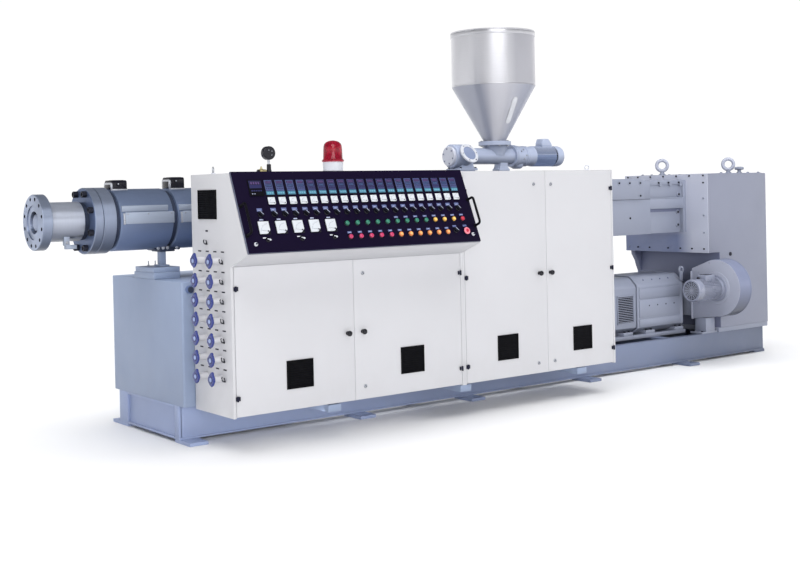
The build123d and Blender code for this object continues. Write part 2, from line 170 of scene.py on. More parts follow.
def paint(name, rgb, rough=0.36, var=0.035, peel=0.12, dust=0.12, coat=0.0, chips=0.0, low=0.72, sheen=0.5, painted_shade_x=None, painted_shadow=None):
    """Sprayed paint: slow mottling, orange peel, uneven gloss, a little dust low down and worn specks, with painted
    shade on faces that look down; on request also painted shade along X and a painted shadow under an overhang.
    """
    k = Mat(name)
    base = lin(*rgb)
    slow = k.rng(k.noise(2.1, 4.0, 0.6), 0.3, 0.7)
    col = k.mix(slow, shade(base, 1 - var), shade(base, 1 + var))
    col = k.under(col, base, low)
    x, y, z = k.xyz()
    if painted_shade_x:
        # painted shade: darker along X between two positions, towards the drive end
        col = k.mix(k.rng(x, painted_shade_x[0], painted_shade_x[1]), col, k.mix(slow, shade(base, painted_shade_x[2] * (1 - var)), shade(base, painted_shade_x[2] * (1 + var))))
    if painted_shadow:
        # painted shadow under an overhang: below a height, on one side, with some mottling
        z0, z1, y0, y1, tone = painted_shadow
        shadow_mask = k.math("MULTIPLY", k.rng(z, z0, z1), k.rng(y, y0, y1))
        col = k.mix(k.math("MULTIPLY", shadow_mask, k.rng(k.noise(4.0, 4.0, 0.6), 0.2, 0.8, 0.75, 1.0)), col, shade(lin(*tone), 1.0))
    near = k.rng(z, 0.02, 0.42, 1.0, 0.0)
    grit = k.rng(k.noise(9.0, 6.0, 0.65), 0.42, 0.72)
    col = k.mix(k.math("MULTIPLY", k.math("MULTIPLY", near, grit), dust), col, shade(lin(150, 142, 132), 1.0))
    if chips:
        speck = k.rng(k.noise(55.0, 8.0, 0.7), 0.70, 0.74)
        col = k.mix(k.math("MULTIPLY", speck, chips), col, shade(lin(96, 98, 106), 1.0))
    k.put("Base Color", col)
    k.put("Specular IOR Level", sheen)
    k.put("Roughness", k.rng(k.noise(6.0, 5.0, 0.6), 0.25, 0.75, rough - 0.06, rough + 0.09))
    k.bump(k.noise(420.0, 2.0, 0.5), peel, 0.0006)
    if coat:
        k.put("Coat Weight", coat)
        k.put("Coat Roughness", 0.15)
    return k.m


def metal(name, rgb, rough=0.3, metallic=1.0, grain=(500, 7, 7), var=0.09, strength=0.25, stain=0.0, low=0.5):
    """Turned or brushed metal: fine lines in one direction, soft stains, uneven polish and painted shade on faces that
    look down.
    """
    k = Mat(name)
    base = lin(*rgb)
    lines = k.noise(1.0, 4.0, 0.7, k.scaled(*grain))
    slow = k.noise(5.0, 4.0, 0.6)
    col = k.mix(k.rng(lines, 0.3, 0.7), shade(base, 1 - var), shade(base, 1 + var))
    col = k.mix(k.math("MULTIPLY", k.rng(slow, 0.45, 0.75), 0.35 + stain), col, shade(base, 0.82))
    col = k.under(col, base, low)
    k.put("Base Color", col)
    k.put("Metallic", metallic)
    k.put("Roughness", k.rng(k.math("ADD", k.math("MULTIPLY", lines, 0.6), k.math("MULTIPLY", slow, 0.4)), 0.3, 0.7, rough - 0.08, rough + 0.12))
    k.bump(lines, strength, 0.0004)
    return k.m


def brushed_round(name, rgb, rough=0.34, metallic=0.85, var=0.04, low=0.7, axis="Z", painted_reflection_sides=()):
    """Stainless sheet brushed round its axis: fine level lines, soft stains, highlights drawn out upwards, painted
    shade on faces that look down and painted reflections darker towards given sides.
    """
    k = Mat(name)
    base = lin(*rgb)
    lines = k.noise(1.0, 4.0, 0.7, k.scaled(*((10, 10, 420) if axis == "Z" else (420, 10, 10))))
    slow = k.noise(3.5, 4.0, 0.6)
    col = k.mix(k.rng(lines, 0.3, 0.7), shade(base, 1 - var), shade(base, 1 + var))
    col = k.mix(k.math("MULTIPLY", k.rng(slow, 0.45, 0.75), 0.3), col, shade(base, 0.86))
    for dx, dy, lo, hi, tone in painted_reflection_sides:
        # painted reflection: darker sheet towards one side, with the same mottling
        t = k.node("ShaderNodeTexCoord")
        n = k.node("ShaderNodeSeparateXYZ")
        k.link(t.outputs["Normal"], n.inputs[0])
        d = k.math("ADD", k.math("MULTIPLY", n.outputs[0], dx), k.math("MULTIPLY", n.outputs[1], dy))
        col = k.mix(k.rng(d, lo, hi), col, k.mix(k.rng(slow, 0.3, 0.7), shade(lin(*tone), 1 - var), shade(lin(*tone), 1 + var)))
    col = k.under(col, base, low)
    k.put("Base Color", col)
    k.put("Metallic", metallic)
    k.put("Roughness", k.rng(k.math("ADD", k.math("MULTIPLY", lines, 0.5), k.math("MULTIPLY", slow, 0.5)), 0.3, 0.7, rough - 0.04, rough + 0.08))
    k.put("Anisotropic", 0.9)
    k.put("Anisotropic Rotation", 0.25)
    t = k.node("ShaderNodeTangent", direction_type="RADIAL", axis=axis)
    k.link(t.outputs[0], k.b.inputs["Tangent"])
    k.bump(lines, 0.05, 0.0003)
    return k.m


def plastic(name, rgb, rough=0.4, var=0.06, grain=0.2, scale=700.0, coat=0.0, sheen=0.5):
    """Moulded plastic: fine grain, slight colour drift and handled gloss."""
    k = Mat(name)
    base = lin(*rgb)
    col = k.mix(k.rng(k.noise(11.0, 4.0, 0.6), 0.3, 0.7), shade(base, 1 - var), shade(base, 1 + var))
    k.put("Base Color", col)
    k.put("Specular IOR Level", sheen)
    k.put("Roughness", k.rng(k.noise(24.0, 5.0, 0.6), 0.3, 0.7, max(0.03, rough - 0.07), rough + 0.1))
    k.bump(k.noise(scale, 2.0, 0.5), grain, 0.0003)
    if coat:
        k.put("Coat Weight", coat)
        k.put("Coat Roughness", 0.08)
    return k.m


def lens(name, rgb, trans=0.75):
    k = Mat(name)
    base = lin(*rgb)
    k.put("Base Color", k.mix(k.rng(k.noise(30.0, 3.0, 0.5), 0.3, 0.7), shade(base, 0.9), shade(base, 1.1)))
    k.put("Roughness", k.rng(k.noise(18.0, 4.0, 0.6), 0.3, 0.7, 0.05, 0.16))
    k.put("Transmission Weight", trans)
    k.put("IOR", 1.45)
    k.bump(k.noise(60.0, 2.0, 0.5), 0.08, 0.0005)
    return k.m


# painted shade on the white: a little darker towards the right cabinet
WHITE = paint("white_powder_coat", (203, 203, 207), rough=0.45, var=0.014, peel=0.10, dust=0.10, low=0.86, painted_shade_x=(-1.3, -0.3, 0.94))
WHITE_IN = paint("white_inner_sheet", (192, 193, 197), rough=0.5, var=0.02, peel=0.10, dust=0.12)
FRAME = paint("frame_blue_grey", (141, 155, 182), rough=0.42, var=0.045, peel=0.18, dust=0.10, chips=0.08)
# painted shade on the base: much darker towards the drive end
BASE = paint("base_blue_grey", (145, 158, 191), rough=0.42, var=0.045, peel=0.18, dust=0.06, chips=0.08, low=0.85, painted_shade_x=(-1.6, 2.6, 0.36))
DRIVE = paint("drive_blue_grey", (143, 149, 167), rough=0.38, var=0.04, peel=0.22, dust=0.12, chips=0.06, low=0.6)
# darker drive paint: painted shade in the gear-case pocket, on the gearbox's lower left face and on its gusset; a plain
# dark tone on small bolts
DRIVE_DK = paint("drive_recess", (104, 110, 136), rough=0.5, var=0.05, peel=0.25, dust=0.16)
GBOX = paint("gearbox_grey", (133, 137, 154), rough=0.38, var=0.04, peel=0.22, dust=0.10, chips=0.06, low=0.6)
# face plate: a lighter copy of the gearbox grey, painted light on its outer face, with a painted shadow under the gear
# case
FACEP = paint("face_plate_grey", (184, 188, 204), rough=0.38, var=0.04, peel=0.22, dust=0.0, chips=0.06, low=0.8, painted_shadow=(0.93, 0.86, 0.03, 0.17, (100, 113, 152)))
DRIVE_LT = paint("drive_plate_grey", (184, 188, 204), rough=0.38, var=0.04, peel=0.22, dust=0.0, chips=0.06, low=0.8)
FEEDP = paint("feeder_grey", (176, 186, 210), rough=0.34, var=0.04, peel=0.25, dust=0.0, chips=0.05, low=0.42)
FEEDC = paint("feeder_cover_pale", (204, 207, 220), rough=0.36, var=0.03, peel=0.2, dust=0.0, chips=0.05, low=0.7)
MOTORP = paint("small_motor_blue", (128, 145, 182), rough=0.38, var=0.05, peel=0.25, dust=0.0, low=0.6)
BLOWP = paint("blower_pale", (152, 157, 174), rough=0.30, var=0.03, peel=0.14, dust=0.05, coat=0.15, low=0.55)
# painted shade: the rim in a darker copy of the blower paint, against the lighter face, and strongly darker on its
# downward faces
BLOWR = paint("blower_rim_painted_shade", (128, 135, 161), rough=0.30, var=0.04, peel=0.14, dust=0.0, low=0.18, sheen=0.35)
BLOWF = paint("blower_face", (166, 170, 187), rough=0.34, var=0.03, peel=0.14, dust=0.05, low=0.6)
BLOWM = paint("blower_motor_grey", (142, 147, 166), rough=0.28, var=0.05, peel=0.2, dust=0.03, coat=0.2, low=0.55)
NECK = brushed_round("neck_steel", (208, 214, 229), rough=0.34, metallic=0.8, low=0.32, axis="X")
TURNED = brushed_round("turned_flange", (172, 183, 207), rough=0.34, metallic=0.85, low=0.26, axis="X")
# painted shade: a darker steel tone for the left face of the barrel flange
FLANGE_FACE_SHADE = metal("flange_face_painted_shade", (96, 112, 146), rough=0.42, metallic=0.6, grain=(30, 160, 160), var=0.08, strength=0.12, stain=0.1, low=0.6)
STEEL = metal("turned_steel", (166, 176, 199), rough=0.42, metallic=0.75, grain=(520, 8, 8), stain=0.1, low=0.40)
STEEL_DK = metal("dark_steel", (70, 78, 98), rough=0.45, metallic=0.7, grain=(420, 10, 10), stain=0.2)
JACKET = metal("jacket_sheet", (127, 142, 173), rough=0.42, metallic=0.75, grain=(9, 260, 260), var=0.06, strength=0.10, stain=0.12, low=0.86)
COVER = metal("cover_sheet", (168, 178, 196), rough=0.44, metallic=0.45, grain=(9, 260, 260), var=0.05, strength=0.10, low=0.5)
STRAP = metal("bright_strap", (206, 209, 216), rough=0.30, metallic=0.8, grain=(8, 300, 300), var=0.06, strength=0.12)
# painted reflection: the hopper sheet darker on its side facing +X and the front
STAIN = brushed_round("hopper_stainless", (224, 224, 229), rough=0.31, metallic=0.88, low=0.6, painted_reflection_sides=((0.798, -0.603, 0.24, 0.46, (192, 192, 200)),))
# painted reflections: the cone much darker on its side facing -X and the back, and darker on its side facing +X and the
# front
STAIN_CONE = brushed_round("hopper_cone_sheet", (214, 214, 221), rough=0.42, metallic=0.45, low=0.85, painted_reflection_sides=((-0.798, 0.603, 0.14, 0.36, (66, 86, 124)), (0.798, -0.603, 0.2, 0.6, (112, 125, 156))))
STAIN_LID = brushed_round("hopper_rim", (216, 216, 221), rough=0.33, metallic=0.88, low=0.8)
BOLT = metal("blackened_bolts", (40, 42, 54), rough=0.42, metallic=0.6, grain=(90, 90, 90), var=0.15, strength=0.2)
ZINC = metal("zinc_plated", (178, 181, 189), rough=0.34, metallic=0.8, grain=(150, 150, 150), var=0.1, strength=0.15)
BRASS = metal("brass_valve", (196, 184, 138), rough=0.36, metallic=0.7, grain=(160, 160, 160), var=0.1, strength=0.15)
BLACK = plastic("black_mould", (26, 26, 34), rough=0.42, sheen=0.35)
HINGE = plastic("hinge_navy", (20, 22, 44), rough=0.4, sheen=0.25)
KNOB_BL = plastic("knob_blue_grey", (92, 110, 150), rough=0.4)
HANDLE = plastic("handle_black", (10, 9, 16), rough=0.5, sheen=0.1)
BLACK_GL = plastic("black_gloss", (18, 18, 28), rough=0.2, sheen=0.4)
VENT = plastic("vent_black", (8, 8, 11), rough=0.55, sheen=0.08)
PANEL_BK = paint("panel_black", (19, 12, 36), rough=0.46, var=0.08, peel=0.16, dust=0.0, low=0.9, sheen=0.05)
TRIM = metal("panel_trim", (112, 116, 138), rough=0.42, metallic=0.6, grain=(9, 240, 240), var=0.06, strength=0.1)
INSTR = plastic("instrument_face", (70, 78, 122), rough=0.34, sheen=0.3)
INSTR3 = plastic("controller_face", (44, 44, 84), rough=0.34, sheen=0.2)
INSTR2 = plastic("instrument_face_dark", (54, 56, 98), rough=0.34, sheen=0.3)
TEAL = plastic("instrument_teal", (70, 120, 145), rough=0.34, sheen=0.3)
TEAL_LT = plastic("instrument_teal_pale", (112, 166, 186), rough=0.34, sheen=0.3)
DIGIT_R = plastic("digit_red", (88, 68, 118), rough=0.4, sheen=0.2)
DIGIT_G = plastic("digit_green", (66, 86, 130), rough=0.4, sheen=0.2)
METER = plastic("meter_white", (206, 210, 216), rough=0.36, var=0.02)
INK2 = plastic("scale_grey", (128, 132, 148), rough=0.5, sheen=0.2)
INK = plastic("ink_black", (36, 34, 50), rough=0.5, sheen=0.2)
PLATE = plastic("legend_plate", (96, 106, 150), rough=0.4, sheen=0.3)
PLATE_LT = plastic("legend_plate_pale", (176, 183, 208), rough=0.4, sheen=0.3)
GREEN = plastic("button_green", (46, 120, 98), rough=0.26, coat=0.2)
YELLOW = plastic("button_yellow", (222, 170, 78), rough=0.26, coat=0.2)
YEL_C = plastic("button_yellow_pale", (240, 208, 120), rough=0.26, coat=0.2)
ORANGE = plastic("button_orange", (214, 128, 70), rough=0.26, coat=0.2)
ORA_C = plastic("button_orange_pale", (240, 182, 112), rough=0.26, coat=0.2)
REDB = plastic("button_red", (184, 36, 62), rough=0.26, coat=0.2)
PINK = plastic("button_rose", (190, 56, 98), rough=0.26, coat=0.2)
PINK_LT = plastic("button_rose_pale", (238, 132, 148), rough=0.26, coat=0.2)
BLUE = plastic("socket_blue", (38, 52, 124), rough=0.28, coat=0.15)
BLUE_DK = plastic("socket_blue_deep", (28, 34, 98), rough=0.3, coat=0.1)
BLUE_LT = plastic("socket_centre", (150, 168, 212), rough=0.3, coat=0.1)
PALE = plastic("pale_plastic", (216, 219, 227), rough=0.38, var=0.02)
LENS = lens("red_lens", (176, 22, 52), 0.55)
LENS_DK = plastic("red_lens_base", (186, 46, 76), rough=0.2, coat=0.3)
GLASS = plastic("port_glass", (138, 150, 180), rough=0.14, var=0.05, grain=0.03, coat=0.3)
SIGHT = plastic("sight_strip", (212, 214, 219), rough=0.25, var=0.03, grain=0.05)
# near-black: painted shade inside holes and behind slats and grilles; also dark joints, rings and small discs
DARK = plastic("dark_recess", (17, 18, 26), rough=0.7, sheen=0.12)


# ------------------------------------------------------------------ mesh building
def rpoly(pts, r, seg=4):
    """A polygon with its corners rounded: r is one radius or one per corner."""
    out = []
    n = len(pts)
    for i in range(n):
        p, a, b = Vector(pts[i]), Vector(pts[i - 1]), Vector(pts[(i + 1) % n])
        ri = r[i] if isinstance(r, (list, tuple)) else r
        if ri <= 0:
            out.append(tuple(p))
            continue
        u, v = (a - p).normalized(), (b - p).normalized()
        half = u.angle(v) / 2
        t = min(ri / math.tan(half), 0.48 * (a - p).length, 0.48 * (b - p).length)
        for k in range(seg + 1):
            s = k / seg
            q = (p + u * t) * (1 - s) ** 2 + p * 2 * s * (1 - s) + (p + v * t) * s * s
            out.append(tuple(q))
    return out


def rect(a0, a1, b0, b1):
    return [(a0, b0), (a1, b0), (a1, b1), (a0, b1)]


def circle(a, b, r, n=24, start=0.0):
    return [(a + r * math.cos(start + 2 * math.pi * i / n), b + r * math.sin(start + 2 * math.pi * i / n)) for i in range(n)]


def soft_bevel(b, off, seg):
    edges = [e for e in b.edges if len(e.link_faces) == 2 and e.calc_face_angle(0) > math.radians(28)]
    if edges and off > 0:
        bmesh.ops.bevel(b, geom=edges, offset=off, offset_type="OFFSET", segments=seg, profile=0.5, affect="EDGES", clamp_overlap=True)


class Piece:
    """Gathers closed primitives in working millimetres into one mesh."""

    def __init__(self, T=None):
        self.bm = bmesh.new()
        self.mats = []
        self.T = T

    def index(self, m):
        if m not in self.mats:
            self.mats.append(m)
        return self.mats.index(m)

    def push(self, b, m, T=None):
        if T is not None:
            bmesh.ops.transform(b, matrix=T, verts=b.verts)
        if self.T is not None:
            bmesh.ops.transform(b, matrix=self.T, verts=b.verts)
        bmesh.ops.recalc_face_normals(b, faces=b.faces)
        i = self.index(m)
        for f in b.faces:
            f.material_index = i
            f.smooth = True
        me = bpy.data.meshes.new("t")
        b.to_mesh(me)
        b.free()
        self.bm.from_mesh(me)
        bpy.data.meshes.remove(me)

    def box(self, m, x0, x1, y0, y1, z0, z1, b=1.5, seg=2, T=None):
        self.prism(m, rect(x0, x1, y0, y1), "Z", z0, z1, b, seg, T)

    def prism(self, m, pts, axis, a0, a1, b=1.5, seg=2, T=None):
        """A polygon pushed along an axis: (Y, Z) for X, (X, Z) for Y, (X, Y) for Z."""
        bm = bmesh.new()

        def at(p, a):
            return {"X": (a, p[0], p[1]), "Y": (p[0], a, p[1]), "Z": (p[0], p[1], a)}[axis]

        lo = [bm.verts.new(at(p, a0)) for p in pts]
        hi = [bm.verts.new(at(p, a1)) for p in pts]
        bm.faces.new(lo)
        bm.faces.new(list(reversed(hi)))
        for i in range(len(pts)):
            j = (i + 1) % len(pts)
            bm.faces.new((lo[i], lo[j], hi[j], hi[i]))
        bmesh.ops.recalc_face_normals(bm, faces=bm.faces)
        soft_bevel(bm, b, seg)
        self.push(bm, m, T)

    def plate(self, m, outer, inner, axis, a0, a1, T=None):
        """A polygon with one polygon hole, both with the same number of points."""
        bm = bmesh.new()

        def at(p, a):
            return {"X": (a, p[0], p[1]), "Y": (p[0], a, p[1]), "Z": (p[0], p[1], a)}[axis]

        rings = [[bm.verts.new(at(p, a)) for p in ring] for ring in (outer, inner) for a in (a0, a1)]
        n = len(outer)
        o0, o1, i0, i1 = rings
        for k in range(n):
            j = (k + 1) % n
            bm.faces.new((o0[k], o0[j], o1[j], o1[k]))
            bm.faces.new((i0[k], i0[j], i1[j], i1[k]))
            bm.faces.new((o0[k], o0[j], i0[j], i0[k]))
            bm.faces.new((o1[k], o1[j], i1[j], i1[k]))
        self.push(bm, m, T)

    def lathe(self, m, prof, o, ax, n=48, T=None, closed=False):
        """Turned shape: prof is (along, radius) from o along ax; closed joins its last point to its first."""
        ax = Vector(ax).normalized()
        u = ax.orthogonal().normalized()
        if abs(ax.x) > 0.9:
            u = Vector((0, 1, 0))
        elif abs(ax.y) > 0.9:
            u = Vector((1, 0, 0))
        elif abs(ax.z) > 0.9:
            u = Vector((1, 0, 0))
        v = ax.cross(u)
        o = Vector(o)
        bm = bmesh.new()
        rows = []
        for t, r in prof:
            if r <= 1e-6:
                rows.append([bm.verts.new(o + ax * t)])
            else:
                rows.append([bm.verts.new(o + ax * t + (u * math.cos(a) + v * math.sin(a)) * r) for a in (2 * math.pi * i / n for i in range(n))])
        pairs = list(zip(rows[:-1], rows[1:]))
        if closed:
            pairs.append((rows[-1], rows[0]))
        for p, q in pairs:
            for i in range(n):
                j = (i + 1) % n
                if len(p) == 1 and len(q) == 1:
                    continue
                if len(p) == 1:
                    bm.faces.new((p[0], q[i], q[j]))
                elif len(q) == 1:
                    bm.faces.new((p[i], p[j], q[0]))
                else:
                    bm.faces.new((p[i], p[j], q[j], q[i]))
        if not closed:
            for row in (rows[0], rows[-1]):
                if len(row) > 1:
                    bm.faces.new(row)
        self.push(bm, m, T)

    def bar(self, m, p0, p1, r, c=1.0, n=32, T=None):
        p0, p1 = Vector(p0), Vector(p1)
        h = (p1 - p0).length
        c = min(c, r * 0.45, h * 0.45)
        self.lathe(m, [(0, r - c), (c, r), (h - c, r), (h, r - c)], p0, p1 - p0, n, T)

    def rod(self, m, pts, r, n=10, bend=0.0, T=None):
        """A round bar through points, with its corners bent."""
        P = [Vector(p) for p in pts]
        path = []
        for i, p in enumerate(P):
            if 0 < i < len(P) - 1 and bend > 0:
                u, v = (P[i - 1] - p), (P[i + 1] - p)
                t = min(bend, 0.48 * u.length, 0.48 * v.length)
                u, v = u.normalized(), v.normalized()
                for k in range(7):
                    s = k / 6
                    path.append((p + u * t) * (1 - s) ** 2 + p * 2 * s * (1 - s) + (p + v * t) * s * s)
            else:
                path.append(p)
        bm = bmesh.new()
        tan = []
        for i in range(len(path)):
            a, b = path[max(i - 1, 0)], path[min(i + 1, len(path) - 1)]
            tan.append((b - a).normalized())
        u = tan[0].orthogonal().normalized()
        rows = []
        for i, p in enumerate(path):
            u = (u - tan[i] * u.dot(tan[i])).normalized()
            w = tan[i].cross(u)
            rows.append([bm.verts.new(p + (u * math.cos(a) + w * math.sin(a)) * r) for a in (2 * math.pi * k / n for k in range(n))])
        for p, q in zip(rows[:-1], rows[1:]):
            for i in range(n):
                j = (i + 1) % n
                bm.faces.new((p[i], p[j], q[j], q[i]))
        bm.faces.new(rows[0])
        bm.faces.new(rows[-1])
        self.push(bm, m, T)

    def torus(self, m, o, ax, R, r, n=40, k=14, T=None):
        ax = Vector(ax).normalized()
        u = ax.orthogonal().normalized()
        v = ax.cross(u)
        o = Vector(o)
        bm = bmesh.new()
        rows = []
        for i in range(n):
            a = 2 * math.pi * i / n
            d = u * math.cos(a) + v * math.sin(a)
            rows.append([bm.verts.new(o + d * (R + r * math.cos(b)) + ax * (r * math.sin(b))) for b in (2 * math.pi * j / k for j in range(k))])
        for i in range(n):
            p, q = rows[i], rows[(i + 1) % n]
            for j in range(k):
                h = (j + 1) % k
                bm.faces.new((p[j], p[h], q[h], q[j]))
        self.push(bm, m, T)

    def hexbolt(self, m, o, ax, r, h, washer=True, T=None):
        ax = Vector(ax).normalized()
        o = Vector(o)
        if washer:
            self.lathe(m, [(-0.5, 0), (-0.5, r * 1.28), (h * 0.2, r * 1.28), (h * 0.22, r * 1.2), (h * 0.22, 0)], o, ax, 20, T)
        self.lathe(m, [(0, 0), (0, r), (h * 0.85, r), (h, r * 0.82), (h, 0)], o, ax, 6, T)

    def capscrew(self, m, o, ax, r, h, T=None, dark=None):
        ax = Vector(ax).normalized()
        o = Vector(o)
        self.lathe(m, [(0, 0), (0, r), (h - r * 0.14, r), (h, r * 0.86), (h, r * 0.56), (h * 0.5, r * 0.5), (h * 0.5, 0)], o, ax, 24, T)

    def make(self, name, body="machine", replaces=(), angle=32.0):
        bmesh.ops.transform(self.bm, matrix=to_row(), verts=self.bm.verts)
        me = bpy.data.meshes.new(name)
        self.bm.to_mesh(me)
        self.bm.free()
        for m in self.mats:
            me.materials.append(m)
        me.set_sharp_from_angle(angle=math.radians(angle))
        ob = bpy.data.objects.new(name, me)
        bpy.context.scene.collection.objects.link(ob)
        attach(ob, body)
        if replaces:
            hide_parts(*replaces)
        return ob


def cut(ob, cutters):
    """Takes the cutter pieces out of an object's mesh."""
    for c in cutters:
        md = ob.modifiers.new("cut", "BOOLEAN")
        md.operation = "DIFFERENCE"
        md.solver = "EXACT"
        md.material_mode = "TRANSFER"
        md.object = c
    dg = bpy.context.evaluated_depsgraph_get()
    me = bpy.data.meshes.new_from_object(ob.evaluated_get(dg))
    ob.modifiers.clear()
    old = ob.data
    ob.data = me
    me.name = old.name
    bpy.data.meshes.remove(old)
    for c in cutters:
        d = c.data
        bpy.data.objects.remove(c)
        bpy.data.meshes.remove(d)
    me.set_sharp_from_angle(angle=math.radians(32))


def loose(P, name):
    """A piece only used to cut others."""
    bmesh.ops.transform(P.bm, matrix=to_row(), verts=P.bm.verts)
    me = bpy.data.meshes.new(name)
    P.bm.to_mesh(me)
    P.bm.free()
    for m in P.mats:
        me.materials.append(m)
    ob = bpy.data.objects.new(name, me)
    bpy.context.scene.collection.objects.link(ob)
    return ob


# ------------------------------------------------------------------ base frame
BX0, BX1, BY0, BY1 = -60.0, 4596.0, 442.0, 1132.0
FT, RT = BY0 + 46, BY1 - 100
P = Piece()
P.prism(BASE, [(BY0, 16), (FT, 16), (FT, 28), (BY0 + 9, 28), (BY0 + 9, 171), (FT, 171), (FT, 183), (BY0, 183)], "X", BX0 + 10, BX1 - 10, 1.5)
P.prism(BASE, [(BY1, 16), (RT, 16), (RT, 28), (BY1 - 9, 28), (BY1 - 9, 171), (RT, 171), (RT, 183), (BY1, 183)], "X", BX0 + 10, BX1 - 10, 1.5)
for y0, y1 in ((BY0, FT), (RT, BY1)):
    P.box(BASE, BX0, BX0 + 16, y0, y1, 16, 183, 1.5)
    P.box(BASE, BX1 - 10, BX1, y0, y1, 16, 183, 1.5)
P.box(BASE, BX0, BX1, BY0 - 7, BY0 + 3, 16, 25, 1.2)
P.make("base_beams_finish", replaces=("base_beams",))

P = Piece()
CROSS = [BX0, 560.0, 1380.0, 2200.0, 2960.0, 3560.0, BX1 - 70.0]
for i, x in enumerate(CROSS):
    if i == 0:
        pts = [(x, 16), (x + 70, 16), (x + 70, 27), (x + 39, 27), (x + 39, 172), (x + 70, 172), (x + 70, 183), (x, 183), (x, 172), (x + 13, 172), (x + 13, 27), (x, 27)]
    elif i < len(CROSS) - 1:
        pts = [(x, 16), (x + 70, 16), (x + 70, 183), (x, 183), (x, 172), (x + 61, 172), (x + 61, 27), (x, 27)]
    else:
        pts = [(x + 70, 16), (x + 70, 27), (x + 9, 27), (x + 9, 172), (x + 70, 172), (x + 70, 183), (x, 183), (x, 16)]
    P.prism(BASE, pts, "Y", FT, RT, 1.2)
P.make("base_cross_members_finish", replaces=("base_cross_members",))

P = Piece()
for x in (566.0, 1411.0, 2290.0):
    P.box(FRAME, x - 38, x + 38, 4, BY0, 135, 171, 2.5)
P.make("cabinet_outriggers_finish", replaces=("cabinet_outriggers",))

# ------------------------------------------------------------------ support box and stand
P = Piece()
P.prism(FRAME, rpoly(rect(-60, 640, 382, 1192), 12, 5), "Z", 183, 792, 2.0)
P.make("support_box_finish", replaces=("support_box",))
P = Piece()
P.bar(KNOB_BL, (-19, 383, 755), (-19, 366, 755), 20, 2.5, 28)
P.bar(STEEL_DK, (-19, 366, 755), (-19, 361, 755), 15, 1.5, 28)
P.make("support_box_knob")
P = Piece()
P.box(FRAME, -60, 86, YC - 110, YC + 126, 792, 826, 2.5)
P.box(FRAME, -60, 86, YC - 106, YC + 110, 826, 852, 2.0)
for x, y in ((8, YC + 97), (48, YC + 100)):
    P.bar(ZINC, (x, y, 851), (x, y, 877), 3.0, 1, 12)
    P.hexbolt(ZINC, (x, y, 852), (0, 0, 1), 6, 5)
P.make("support_block_finish", replaces=("support_block",))
P = Piece()
P.box(FRAME, 20, 54, YC - 16, YC + 16, 852, 932, 2.0)
P.box(FRAME, 8, 66, YC - 30, YC + 30, 852, 860, 1.5)
cr = [(YC - 48, 928)] + [(YC + 156.3 * math.sin(a), ZC - 156.3 * math.cos(a)) for a in (math.radians(-17.9 + 35.8 * i / 14) for i in range(15))] + [(YC + 48, 928)]
P.prism(STEEL_DK, cr, "X", 4, 88, 1.0)
for x, y in ((18, YC - 50), (42, YC - 50), (-8, YC - 46), (98, YC - 44)):
    P.box(STEEL_DK, x - 9, x + 9, y - 8, y + 12, 940, 954, 1.5)
    P.hexbolt(STRAP, (x, y - 8, 948), (0, -1, 0), 7, 7)
for x in (-16, 112):
    P.bar(STEEL_DK, (x, YC - 46, 944), (x, YC + 46, 944), 9, 1.5, 20)
P.make("barrel_post_finish", replaces=("barrel_post",))

# ------------------------------------------------------------------ barrel
P = Piece()
x0, x1, R = -636.0, -587.0, 136.5
P.lathe(TURNED, [(0, 84), (5, 84), (5, 55.5), (6.5, 54.5), (49, 54.5), (49, R - 3), (46.5, R), (3, R), (0, R - 2.5)], (x0, YC, ZC), (1, 0, 0), 96, closed=True)
die = P.make("die_flange_finish", replaces=("die_flange",))
# the holes' walls take the near-black of their cutters: painted shade inside the holes
C = Piece()
for k in range(12):
    a = math.radians(15 + 30 * k)
    y, z = YC + 116 * math.cos(a), ZC + 116 * math.sin(a)
    C.lathe(DARK, [(0, 9.25), (70, 9.25)], (x0 - 10, y, z), (1, 0, 0), 20)
cut(die, [loose(C, "die_holes")])
P = Piece()
# dark steel rings at both ends of the neck: grooves at the joints, darkened partly as painted shade; the first one also
# gives the gap round the plug a dark back, painted shade
P.lathe(STEEL_DK, [(-1, 0), (-1, 91), (10, 91), (10, 0)], (x1, YC, ZC), (1, 0, 0), 96)
P.lathe(NECK, [(9, 0), (9, 95.5), (11, 97), (174, 97), (176, 95.5), (176, 0)], (x1, YC, ZC), (1, 0, 0), 96)
P.lathe(STEEL_DK, [(175, 0), (175, 93), (199, 93), (199, 0)], (x1, YC, ZC), (1, 0, 0), 96)
P.lathe(STEEL, [(-630.5, 0), (-630, 10), (-628.5, 22), (-626, 32), (-622.5, 39), (-617, 42), (-580, 42), (-580, 0)], (0, YC, ZC), (1, 0, 0), 64)
P.make("die_neck_finish", replaces=("die_neck",))
P = Piece()
# left face of the flange in the darker tone: painted shade
P.lathe(FLANGE_FACE_SHADE, [(0, 60), (0, 159.5), (3, 161.5), (3, 60)], (-388, YC, ZC), (1, 0, 0), 96, closed=True)
P.lathe(TURNED, [(2, 60), (2, 161.5), (5, 165), (42, 165), (44.5, 162.5), (44.5, 60)], (-388, YC, ZC), (1, 0, 0), 96, closed=True)
P.lathe(STEEL_DK, [(0, 60), (0, 159.5), (4, 159.5), (4, 60)], (-344, YC, ZC), (1, 0, 0), 96, closed=True)
P.lathe(TURNED, [(0, 60), (0, 162.5), (2.5, 165), (62, 165), (65.5, 161), (65.5, 60)], (-340.5, YC, ZC), (1, 0, 0), 96, closed=True)
for k in range(8):
    a = math.radians(22.5 + 45 * k)
    y, z = YC + 143 * math.cos(a), ZC + 143 * math.sin(a)
    P.capscrew(BOLT, (-387, y, z), (-1, 0, 0), 16.0, 24)
